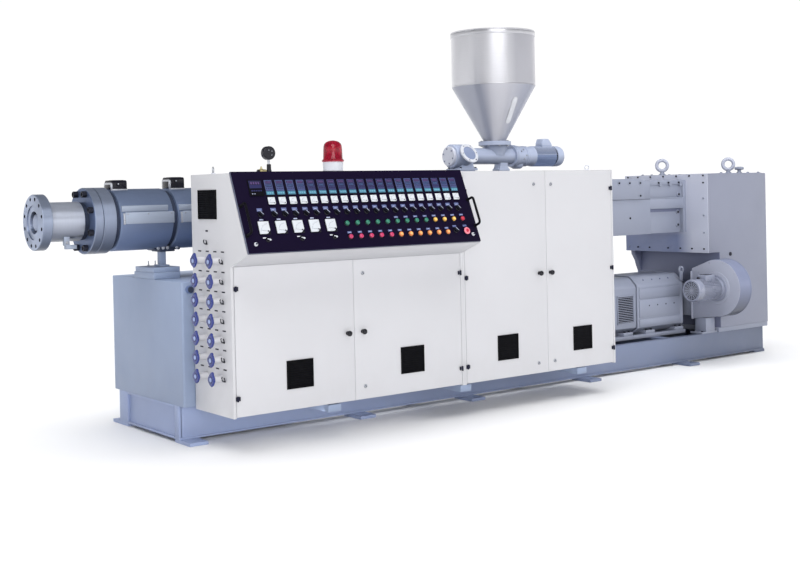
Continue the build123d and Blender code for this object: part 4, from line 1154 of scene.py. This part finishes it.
P.lathe(FEEDP, [(1986, 0), (1986, 68), (1990, 73), (2086, 73), (2096, 69), (2100, 60), (2100, 0)], (0, YC, FZ), (1, 0, 0), 64)
P.lathe(FEEDC, [(1968, 0), (1968, 57), (1971, 60), (1986, 60), (1986, 0)], (0, YC, FZ), (1, 0, 0), 64)
for i in range(6):
    a = 2 * math.pi * i / 6 + 0.3
    P.capscrew(DRIVE_DK, (1968.5, YC + 46 * math.cos(a), FZ + 46 * math.sin(a)), (-1, 0, 0), 4.5, 4)
P.make("feeder_tube_finish", replaces=("feeder_tube",))
P = Piece()
P.prism(FEEDP, rpoly([(2006, 1331), (2148, 1331), (2148, 1344), (2138, 1347), (2129, 1358), (2126.5, 1372), (2126.5, 1408), (2036.5, 1408), (2036.5, 1372), (2033, 1358), (2020, 1347), (2006, 1344)], [0, 0, 3, 4, 8, 0, 0, 0, 0, 8, 4, 3], 3), "Y", YC - 50, YC + 50, 2)
P.prism(FEEDP, rpoly([(YC - 62, 1340), (YC + 62, 1340), (YC + 54, 1350), (YC + 50, 1362), (YC - 50, 1362), (YC - 54, 1350)], [0, 0, 8, 0, 0, 8], 3), "X", 2036.5, 2126.5, 1)
P.box(FEEDP, 2005, 2149, YC - 66, YC + 66, 1331, 1344, 2)
P.box(FEEDP, 2020, 2136, YC - 58, YC + 58, 1277, 1331, 2)
P.prism(FEEDP, rpoly([(2359, 1329), (2445, 1329), (2445, 1341), (2440, 1344), (2434.5, 1356), (2432.5, 1366), (2432.5, 1400), (2371.5, 1400), (2371.5, 1366), (2369.5, 1356), (2364, 1344), (2359, 1341)], [0, 0, 3, 4, 6, 0, 0, 0, 0, 6, 4, 3], 3), "Y", YC - 30, YC + 30, 2)
P.box(FEEDP, 2357, 2447, YC - 33, YC + 33, 1328, 1340, 2)
P.box(FEEDP, 2360, 2444, YC - 31, YC + 31, 1290, 1330, 1)
P.box(FEEDP, 2366, 2438, YC - 30, YC + 30, 1196, 1292, 2)
for x in (2019, 2139):
    for y in (YC - 56, YC + 56):
        P.hexbolt(BOLT, (x, y, 1344), (0, 0, 1), 7, 8)
P.make("feeder_supports_finish", replaces=("feeder_supports",))

po, pn = Vector((2060, 690, 1437)), Vector((0.05, -0.87, 0.49)).normalized()
P = Piece()
P.lathe(FEEDP, [(-64, 0), (-64, 52), (-18, 54), (-12, 58), (-12, 0)], po, pn, 56)
P.lathe(PALE, [(-12, 0), (-12, 65), (-10, 66), (-2, 66), (0, 64.5), (0, 46.5), (-3.5, 45.5), (-3.5, 0)], po, pn, 64)
P.lathe(GLASS, [(-4, 0), (-4, 45.3), (-2.2, 45.3), (-1.6, 44), (-1.6, 0)], po, pn, 64)
u = pn.orthogonal().normalized()
v = pn.cross(u)
for i in range(6):
    a = 2 * math.pi * i / 6 + 0.25
    P.capscrew(BOLT if i == 1 else ZINC, po + (u * math.cos(a) + v * math.sin(a)) * 56, pn, 3.6, 0.0 + 3.0)
P.make("feeder_sight_port_finish", replaces=("feeder_sight_port",))


def fins(P, m, x0, x1, y, z, r0, r1, n, a0, a1, t=3.0):
    """Straight cooling fins along a motor between two angles."""
    for i in range(n):
        a = math.radians(a0 + (a1 - a0) * i / (n - 1))
        T = Matrix.Translation((0, y, z)) @ Matrix.Rotation(a, 4, "X")
        P.box(m, x0, x1, r0 - 2, r1, -t / 2, t / 2, 0.8, T=T)


P = Piece()
P.lathe(FEEDP, [(2490, 0), (2490, 68), (2494, 72), (2506, 72), (2510, 69), (2530, 67.5), (2560, 64), (2578, 62), (2581, 66), (2589, 66), (2589.5, 61), (2592, 61), (2592, 0)], (0, YC, FZ), (1, 0, 0), 64)
P.lathe(FEEDP, [(1340, 0), (1340, 22), (1343, 30), (1352, 39), (1372, 44.5), (1420, 44.5), (1420, 0)], (2536, YC, 0), (0, 0, 1), 40)
for x, dz, r in ((2524, 30, 67.8), (2548, 40, 65.4), (2568, 4, 63.0), (2545, -18, 65.6)):
    d = Vector((0, -math.sqrt(1 - (dz / r) ** 2), dz / r))
    P.capscrew(ZINC, Vector((x, YC, FZ)) + d * (r - 1), d, 5, 5)
P.make("feeder_gearbox_finish", replaces=("feeder_gearbox",))
P = Piece()
P.lathe(FEEDP, [(2592, 0), (2592, 63), (2595, 65.5), (2606, 65.5), (2610, 61), (2640, 60), (2648, 64), (2660, 65.5), (2660, 0)], (0, YC, FZ), (1, 0, 0), 64)
P.lathe(MOTORP, [(2660, 0), (2660, 58), (2842, 58), (2842, 0)], (0, YC, FZ), (1, 0, 0), 64)
# upper fins in the lighter feeder grey, lower fins in the darker motor blue: painted light on top, painted shade below
fins(P, FEEDP, 2660, 2840, YC, FZ, 57, 66, 21, 8, 172, 3.4)
fins(P, MOTORP, 2660, 2840, YC, FZ, 57, 66, 21, 186, 354, 3.0)
P.lathe(DARK, [(2841, 0), (2841, 60), (2850, 60), (2850, 0)], (0, YC, FZ), (1, 0, 0), 56)
P.lathe(FEEDP, [(2849, 0), (2849, 65), (2851, 67), (2888, 67), (2904, 63), (2913, 54), (2917, 44), (2917, 0)], (0, YC, FZ), (1, 0, 0), 64)
for r in (12, 22, 32):
    P.torus(DARK, (2917, YC, FZ), (1, 0, 0), r, 1.6, 40, 8)
P.prism(FEEDP, rpoly([(2734, FZ + 40), (2823, FZ + 40), (2823, 1500), (2796, 1533), (2747, 1533), (2734, 1504)], [0, 0, 10, 16, 8, 10], 4), "Y", YC - 33, YC + 33, 7, 3)
P.prism(MOTORP, rect(2732.5, 2824, 1487, 1489.5), "Y", YC - 34, YC + 34, 0.8)
P.make("feeder_motor_finish", replaces=("feeder_motor",))

# ------------------------------------------------------------------ gear case
P = Piece()
GY0, GY1 = 600.0, 974.0
P.box(DRIVE, 2560, 3965, GY0 + 60, GY1 - 60, 884, 1250, 2)
for y0, y1 in ((GY0, GY0 + 62), (GY1 - 62, GY1)):
    P.box(DRIVE, 2560, 3592, y0, y1, 884, 1121, 2.5)
    P.box(DRIVE, 2560, 3592, y0, y1, 1123, 1250, 2.5)
    P.box(DRIVE, 3590, 3938, y0, y1, 1053, 1121, 2.0)
    P.box(DRIVE, 3590, 3938, y0, y1, 1121, 1129, 1.5)
    P.box(DRIVE, 3590, 3938, y0, y1, 1217, 1250, 2.0)
    P.box(DRIVE, 3934, 3965, y0, y1, 884, 1250, 2.0)
P.box(DRIVE, 2900, 3517, GY0 - 12, GY1 + 12, 1122, 1258, 3.5, 3)
P.box(DRIVE, 2880, 3540, GY0 + 40, GY1 - 40, 1250, 1262, 3)
for sgn, yf in ((-1, GY0 - 12), (1, GY1 + 12)):
    for x, z in ((2940, 1234), (3040, 1234), (3156, 1234), (3272, 1234), (3374, 1233), (3479, 1233), (3479, 1147), (2940, 1147)):
        P.lathe(DRIVE, [(-1, 0), (-1, 16), (1.5, 15.5), (1.5, 0)], (x, yf, z), (0, sgn, 0), 24)
        P.capscrew(BOLT, (x, yf + sgn * 1, z), (0, sgn, 0), 6.2, 6)
for sgn, yf in ((-1, GY0), (1, GY1)):
    for x, z in ((3678, 1232), (3781, 1232), (3889, 1232)):
        P.capscrew(BOLT, (x, yf, z), (0, sgn, 0), 6.5, 7)
        P.lathe(DRIVE, [(0, 0), (0, 13), (8, 12), (8, 0)], (x + 18, yf - sgn * 0.5, z - 14), (0, sgn, 0), 20)
    P.lathe(DARK, [(0, 0), (0, 8), (2, 7), (2, 0)], (3389, yf, 997), (0, sgn, 0), 20)
    P.box(DRIVE, 3592, 3934, *sorted((yf - sgn * 10, yf - sgn * 62)), 1129, 1217, 1)
    P.box(DRIVE, 3592, 3934, *sorted((yf - sgn * 30, yf - sgn * 62)), 885, 1053, 1)
    # dark strip under the lower pocket's top edge: painted shadow
    P.box(DRIVE_DK, 3593, 3933, *sorted((yf - sgn * 26, yf - sgn * 60)), 1031, 1052.5, 1)
    for x, z, t in ((3905, 1027, 31), (3903, 937, 31), (3893, 1150, 11)):
        P.lathe(DRIVE, [(0, 0), (0, 17), (8, 15), (8, 0)], (x, yf - sgn * t, z), (0, sgn, 0), 24)
        P.capscrew(BOLT, (x, yf - sgn * (t - 8), z), (0, sgn, 0), 8, 6)
P.make("gear_case_finish", replaces=("gear_case",))

# ------------------------------------------------------------------ transfer gearbox
GX0, GX1, GXL = 3965.0, 4619.0, 4085.0
P = Piece()
P.prism(GBOX, [(GX0 + 20, 740), (GXL, 740), (GXL, 216), (GX1, 216), (GX1, 1288), (GX0 + 20, 1288)], "Y", 411, 1163, 4, 3)
# thin dark plate on the gearbox's lower left face: painted shade on that set-back face
P.box(DRIVE_DK, GXL - 1.2, GXL + 3, 413, 1161, 218, 739, 0.6)
P.lathe(BOLT, [(0, 0), (0, 14), (5, 13), (7, 9), (7, 0)], (4200, 411.5, 724), (0, -1, 0), 28, T=None)
P.box(DRIVE, 4120, 4580, 416, 1158, 1287, 1291, 1.5)
for x in (4140, 4240, 4340, 4440, 4560):
    for y in (430, 1144):
        P.hexbolt(DRIVE, (x, y, 1290), (0, 0, 1), 9, 8)
P.make("gearbox_case_finish", replaces=("gearbox_case",))
P = Piece()
P.box(GBOX, GX0 + 3, GX0 + 20.5, 411, 1163, 740, 1288, 1.5)
# outer skin in the lighter face-plate grey: painted light on the side facing -X, with the painted shadow under the gear
# case
P.box(FACEP, GX0, GX0 + 6, 411.5, 1162.5, 740.5, 1287.5, 1.5)
bolts = [(y, 1276) for y in (446, 566, 681, 799, 917, 1035, 1130)] + [(y, 768) for y in (449, 553, 656, 766, 937, 1046, 1130)]
bolts += [(446, z) for z in (1227, 1120, 1000, 880)] + [(1130, z) for z in (1190, 1050, 910)]
for y, z in bolts:
    P.capscrew(DRIVE if y in (446, 1130) and z < 1200 else BOLT, (GX0, y, z), (-1, 0, 0), 6.0, 6)
P.make("gearbox_face_plate_finish", replaces=("gearbox_face_plate",))
P = Piece()
# gusset in the darker drive paint: painted shade
P.prism(DRIVE_DK, rpoly([(GXL + 2, 741), (4016, 741), (4019, 712), (4034, 690), (4052, 664), (4062, 632), (GXL + 2, 580)], [0, 0, 20, 20, 20, 20, 0], 4), "Y", 1123, 1163, 3)
P.make("gearbox_gusset_finish", replaces=("gearbox_gusset",))
P = Piece()
P.box(DRIVE, GXL, 4640, 431, 1143, 183, 216.5, 2.5)
for x in (4110, 4300, 4490):
    P.hexbolt(BOLT, (x, 440, 216), (0, 0, 1), 9, 9)
for y in (470, 640, 787, 934, 1104):
    P.hexbolt(BOLT, (4629, y, 216), (0, 0, 1), 7, 9)
P.make("gearbox_foot_finish", replaces=("gearbox_foot",))
P = Piece()
for x, y in ((4090.0, 915.0), (4490.0, 637.0)):
    a = math.radians(45)
    P.torus(DRIVE_LT, (x, y, 1358), (math.sin(a), math.cos(a), 0), 38, 12.8, 56, 18)
    P.lathe(DRIVE, [(0, 0), (0, 26), (5, 26), (9, 20), (16, 15), (34, 14), (36, 10), (36, 0)], (x, y, 1287), (0, 0, 1), 36)
lug = [(3902, 548), (3902, 600)] + [(3889 + 26 * math.cos(a), 624 + 26 * math.sin(a)) for a in (math.radians(-40 + 260 * i / 24) for i in range(25))] + [(3876, 600), (3876, 548)]
P.prism(DRIVE, lug, "Y", 587, 599, 1.5)
ey = P.make("lifting_eyes_finish", replaces=("lifting_eyes",))
C = Piece()
C.lathe(DRIVE, [(0, 13), (40, 13)], (3889, 575, 624), (0, 1, 0), 32)
cut(ey, [loose(C, "lug_hole")])
P = Piece()
P.lathe(DRIVE, [(0, 0), (0, 20), (6, 20), (8, 14), (24, 13), (26, 30), (30, 33), (40, 33), (46, 28), (48, 12), (48, 0)], (4516, 560, 1290), (0, 0, 1), 36)
P.make("gearbox_breather")

# ------------------------------------------------------------------ main motor
MY, MZ, MH = 787.0, 408.0, 200.0
c = 0.32 * MH
octo = [(MY - MH, MZ - MH + 40), (MY - MH + c, MZ - MH), (MY + MH - c, MZ - MH), (MY + MH, MZ - MH + 40),
        (MY + MH, MZ + MH - c), (MY + MH - c, MZ + MH), (MY - MH + c, MZ + MH), (MY - MH, MZ + MH - c)]


def scaled_oct(k):
    return [(MY + (y - MY) * k, MZ + (z - MZ) * k) for y, z in octo]


def motor_round(k):
    return rpoly(scaled_oct(k), [10, 10, 10, 10, 30, 60, 60, 30], 6)


P = Piece()
P.prism(DRIVE, motor_round(0.965), "X", 3430, 3902, 3, 2)
for x0, x1, g in ((3430, 3448, 0.99), (3876, 3902, 0.975)):
    P.prism(DRIVE, motor_round(g), "X", x0, x1, 3, 2)
for sgn in (-1, 1):
    yf = MY + sgn * MH
    for z0, z1 in ((452, 516), (322, 442), (262, 310)):
        P.box(DRIVE, 3452, 3868, *sorted((yf - sgn * 8, yf - sgn * 1.5)), z0, z1, 2.5)
    for x in (3550, 3634, 3720, 3805):
        P.hexbolt(BOLT, (x, yf - sgn * 7.5, 399), (0, sgn, 0), 6, 7, False)
    for x in (3530, 3618, 3701, 3785):
        n = Vector((0, sgn * 0.7071, 0.7071))
        P.hexbolt(DRIVE_DK, Vector((x, MY + sgn * (MH - c / 2), MZ + MH - c / 2)) - n * 7.5, n, 5, 5, False)
P.make("motor_frame_finish", replaces=("motor_frame",))

P = Piece()
P.prism(DRIVE, motor_round(0.94), "X", 3000, 3431, 4, 3)
for sgn in (-1, 1):
    yf = MY + sgn * MH * 0.94
    a, b = 3246, 3395
    # near-black behind the grille slats: painted shade
    P.box(DARK, a, b, *sorted((yf - sgn * 3, yf + sgn * 0.6)), 298, 473, 0.0)
    n = 15
    for i in range(n):
        z = 298 + (i + 0.5) * 175 / n
        y0, y1 = yf - sgn * 1, yf + sgn * 4
        pts = [(y0, z - 1.6), (y1, z - 2.6), (y1, z + 0.9), (y0, z + 1.9)]
        P.prism(DRIVE, pts, "X", a, b, 0.0)
    for x in (a - 6, b):
        P.box(DRIVE, x, x + 6, *sorted((yf - sgn * 1, yf + sgn * 8)), 292, 479, 1)
    for z in (292, 473):
        P.box(DRIVE, a - 6, b + 6, *sorted((yf - sgn * 1, yf + sgn * 8)), z, z + 6, 1)
    for x in (3030, 3200):
        for z in (290, 500):
            P.hexbolt(BOLT, (x, yf - sgn * 0.5, z), (0, sgn, 0), 7, 6)
for r, t in ((150, 6), (110, 10), (56, 16)):
    P.lathe(DRIVE, [(0, 0), (0, r), (t - 2, r), (t, r - 3), (t, 0)], (3001, MY, MZ), (-1, 0, 0), 56)
P.make("motor_end_housing_finish", replaces=("motor_end_housing",))

P = Piece()
for y0, y1 in ((590, 680), (894, 984)):
    P.box(DRIVE, 3040, 3920, y0, y1, 183, 208, 2)
    for x in (3100, 3340, 3560, 3860):
        f = -1 if y0 < 700 else 1
        yy = y0 + 18 if f < 0 else y1 - 18
        P.box(DRIVE, x - 45, x + 45, y0 + 2, y1 - 2, 207, 232, 3)
        P.hexbolt(BOLT, (x - 22, yy, 231), (0, 0, 1), 9, 9)
        P.hexbolt(BOLT, (x + 22, yy, 231), (0, 0, 1), 9, 9)
P.make("motor_rails_finish", replaces=("motor_rails",))
P = Piece()
P.lathe(DRIVE, [(0, 0), (0, 134), (8, 134), (8, 130), (175, 130), (175, 134), (183, 134), (183, 0)], (3902, MY, MZ), (1, 0, 0), 64)
P.make("coupling_guard_finish", replaces=("coupling_guard",))

# ------------------------------------------------------------------ blower
BY, BZ, BR = 340.0, 503.0, 196.0
P = Piece()
face = [(BY + 194 * math.cos(a), BZ + 194 * math.sin(a)) for a in (math.radians(72 + 198 * i / 66) for i in range(67))] + [(546, 284), (546, 632)]
P.prism(BLOWF, face, "X", 3949.5, 3956, 1.5, 2)
# rim in the darker copy of the blower paint: painted shade
P.lathe(BLOWR, [(3, 0), (3, BR - 2), (5, BR), (11, BR), (12, BR - 2), (118, BR - 2), (119, BR), (126, BR), (128, BR - 5), (128, 0)], (3950, BY, BZ), (1, 0, 0), 96)
P.prism(BLOWP, rpoly([(BY + 10, 307), (545, 284), (545, 630), (BY + 60, 688)], [0, 6, 6, 0], 3), "X", 3953, 4077, 4, 3)
P.box(BLOWF, 3944, 4082, 546, 558, 280, 612, 2.0)
P.box(DRIVE, 3960, 4068, 556, 640, 300, 520, 3)
P.lathe(BLOWF, [(0, 0), (0, 112), (-4, 110), (-5, 106), (-5, 0)], (3950, BY, BZ), (1, 0, 0), 64)
for i in range(10):
    a = 2 * math.pi * i / 10
    P.hexbolt(BLOWF, (3950, BY + 182 * math.cos(a), BZ + 182 * math.sin(a)), (-1, 0, 0), 4.5, 3.5)
P.make("blower_scroll_finish", replaces=("blower_scroll",))
P = Piece()
P.lathe(BLOWM, [(3716, 0), (3716, 68), (3924, 68), (3924, 0)], (0, BY, BZ), (1, 0, 0), 56)
fins(P, BLOWM, 3730, 3918, BY, BZ, 67, 74, 40, 0, 351, 3.6)
P.lathe(BLOWM, [(3920, 0), (3920, 74), (3926, 76), (3936, 76), (3938, 90), (3950, 92), (3950, 0)], (0, BY, BZ), (1, 0, 0), 56)
P.lathe(BLOWM, [(3683, 60), (3683, 70), (3687, 74), (3738, 75), (3738, 68), (3690, 68), (3690, 60)], (0, BY, BZ), (1, 0, 0), 64, closed=True)
# near-black disc behind the fan cover: painted shade
P.lathe(DARK, [(3698, 0), (3698, 64), (3704, 66), (3704, 0)], (0, BY, BZ), (1, 0, 0), 48)
for r in (12, 22, 32, 42, 52):
    P.torus(BLOWP, (3687, BY, BZ), (1, 0, 0), r, 2.2, 40, 8)
for i in range(8):
    a = math.pi * i / 8
    d = Vector((0, math.cos(a), math.sin(a)))
    o = Vector((3688, BY, BZ))
    P.rod(BLOWP, [o - d * 63, o + d * 63], 2.0, 8)
P.bar(BLOWP, (3684, BY, BZ), (3694, BY, BZ), 9, 1.5, 24)
P.prism(BLOWM, rpoly([(3790, BZ + 55), (3890, BZ + 55), (3890, BZ + 98), (3790, BZ + 98)], [0, 0, 10, 10], 4), "Y", BY - 38, BY + 38, 4, 2)
P.box(BLACK_GL, 3806, 3872, BY - 26, BY + 26, BZ + 97, BZ + 101, 1.5)
P.bar(BLACK, (3784, BY + 14, BZ + 76), (3770, BY + 14, BZ + 76), 10, 1.5, 18)
P.make("blower_motor_finish", replaces=("blower_motor",))
P = Piece()
P.box(DRIVE, 3966, 4062, 446, 540, 183, 290, 2.5)
P.box(DRIVE, 3920, 4082, 442, 545, 183, 195, 2)
for x in (3936, 4070):
    for y in (458, 530):
        P.hexbolt(BOLT, (x, y, 195), (0, 0, 1), 7, 7)
P.make("blower_bracket_finish", replaces=("blower_bracket",))

# ------------------------------------------------------------------ finish of the nodes that stay
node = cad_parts["foot_plates"]
node.data.materials.clear()
node.data.materials.append(BASE)

# ------------------------------------------------------------------ floor, light and camera
floor_mesh = bpy.data.meshes.new("floor")
s = 60.0
floor_mesh.from_pydata([(-s, -s, -0.0008), (s, -s, -0.0008), (s, s, -0.0008), (-s, s, -0.0008)], [], [(0, 1, 2, 3)])
floor = bpy.data.objects.new("floor", floor_mesh)
bpy.context.scene.collection.objects.link(floor)
k = Mat("pale_floor")
k.put("Base Color", k.mix(k.rng(k.noise(0.7, 3.0, 0.5), 0.3, 0.7), (0.86, 0.86, 0.87, 1), (0.90, 0.90, 0.905, 1)))
k.put("Roughness", 0.75)
floor.data.materials.append(k.m)

scene = bpy.context.scene
world = bpy.data.worlds.new("studio")
scene.world = world
world.use_nodes = True
wn = world.node_tree
bg = next(n for n in wn.nodes if n.type == "BACKGROUND")
tc = wn.nodes.new("ShaderNodeTexCoord")
sep = wn.nodes.new("ShaderNodeSeparateXYZ")
ramp = wn.nodes.new("ShaderNodeValToRGB")
wn.links.new(tc.outputs["Generated"], sep.inputs[0])
wn.links.new(sep.outputs[2], ramp.inputs[0])
ramp.color_ramp.elements[0].position = 0.168
ramp.color_ramp.elements[0].color = (1.0, 1.0, 1.0, 1)
ramp.color_ramp.elements[1].position = 0.36
ramp.color_ramp.elements[1].color = (0.15, 0.155, 0.165, 1)


def wmath(op, a, b):
    n = wn.nodes.new("ShaderNodeMath")
    n.operation = op
    for i, v in enumerate((a, b)):
        if isinstance(v, (int, float)):
            n.inputs[i].default_value = v
        else:
            wn.links.new(v, n.inputs[i])
    return n.outputs[0]


# low screens round the studio: white behind the machine and to its left, a dark gap at the right of the front
front_s = wmath("ADD", wmath("MULTIPLY", sep.outputs[0], 0.798), wmath("MULTIPLY", sep.outputs[1], -0.603))
front_c = wmath("ADD", wmath("MULTIPLY", sep.outputs[0], -0.603), wmath("MULTIPLY", sep.outputs[1], -0.798))
turn = wmath("ADD", wmath("DIVIDE", wmath("ARCTAN2", front_s, front_c), 2 * math.pi), 0.5)
screens = wn.nodes.new("ShaderNodeValToRGB")
wn.links.new(turn, screens.inputs[0])
STOPS = [(-180, 1.0), (-150, 1.0), (-125, 0.82), (-60, 0.98), (-30, 0.92), (-8, 1.3), (3, 1.6), (14, 1.6), (27, 0.5), (40, 0.08), (96, 0.10), (122, 0.6), (150, 1.0), (180, 1.0)]
el = screens.color_ramp.elements
for i, (deg, val) in enumerate(STOPS):
    e = el[i] if i < 2 else el.new(0.5)
    e.position = (deg + 180.0) / 360.0
    e.color = (val, val, val, 1)
both = wn.nodes.new("ShaderNodeMix")
both.data_type = "RGBA"
both.blend_type = "MULTIPLY"
high = wn.nodes.new("ShaderNodeMapRange")
wn.links.new(sep.outputs[2], high.inputs["Value"])
high.inputs["From Min"].default_value = 0.2
high.inputs["From Max"].default_value = 0.7
high.inputs["To Min"].default_value = 1.0
high.inputs["To Max"].default_value = 0.0
wn.links.new(high.outputs["Result"], both.inputs["Factor"])
wn.links.new(ramp.outputs[0], both.inputs[6])
wn.links.new(screens.outputs[0], both.inputs[7])
wn.links.new(both.outputs[2], bg.inputs[0])
bg.inputs[1].default_value = 1.02

for lname, power, wide, toward in (("key", 3.15, 70, (-0.04, -0.08, 1.0)), ("fill", 1.7, 40, (-0.424, -0.906, 0.10)), ("sheen", 1.2, 42, (-0.36, -0.72, 0.60))):
    ld = bpy.data.lights.new(lname, "SUN")
    ld.energy = power
    ld.angle = math.radians(wide)
    lo = bpy.data.objects.new(lname, ld)
    lo.rotation_euler = (-Vector(toward)).to_track_quat("-Z", "Y").to_euler()
    lo.location = (0, -3, 6)
    lo.visible_glossy = lname == "sheen"
    lo.visible_diffuse = lname != "sheen"
    scene.collection.objects.link(lo)

strip = bpy.data.lights.new("strip", "AREA")
strip.shape = "RECTANGLE"
strip.size, strip.size_y, strip.energy = 1.3, 0.05, 0.5
so = bpy.data.objects.new("strip", strip)
so.location = to_row() @ Vector((560, 40, 120))
so.rotation_euler = Vector((0, 1, 0.05)).to_track_quat("-Z", "Y").to_euler()
so.visible_camera = so.visible_glossy = False
scene.collection.objects.link(so)

cam_data = bpy.data.cameras.new("camera")
cam = bpy.data.objects.new("camera", cam_data)
scene.collection.objects.link(cam)
yaw, pitch, roll = -0.6471978, 0.0102615, -0.0215593
fwd = Vector((-math.sin(yaw) * math.cos(pitch), math.cos(yaw) * math.cos(pitch), -math.sin(pitch)))
right = Vector((math.cos(yaw), math.sin(yaw), 0))
up = right.cross(fwd)
r2 = right * math.cos(roll) + up * math.sin(roll)
u2 = -right * math.sin(roll) + up * math.cos(roll)
pos = to_row() @ Vector((-2725.80, -4890.58, 1208.58))
cam.matrix_world = frame_at(pos, r2, u2, -fwd)
cam_data.sensor_fit = "HORIZONTAL"
cam_data.sensor_width = 36.0
cam_data.lens = 1200.379 / 800.0 * 36.0
cam_data.shift_x = (400.0 - 396.730) / 800.0
cam_data.shift_y = (204.187 - 283.0) / 800.0
cam_data.clip_end = 200.0
scene.camera = cam
scene.view_settings.view_transform = "Standard"
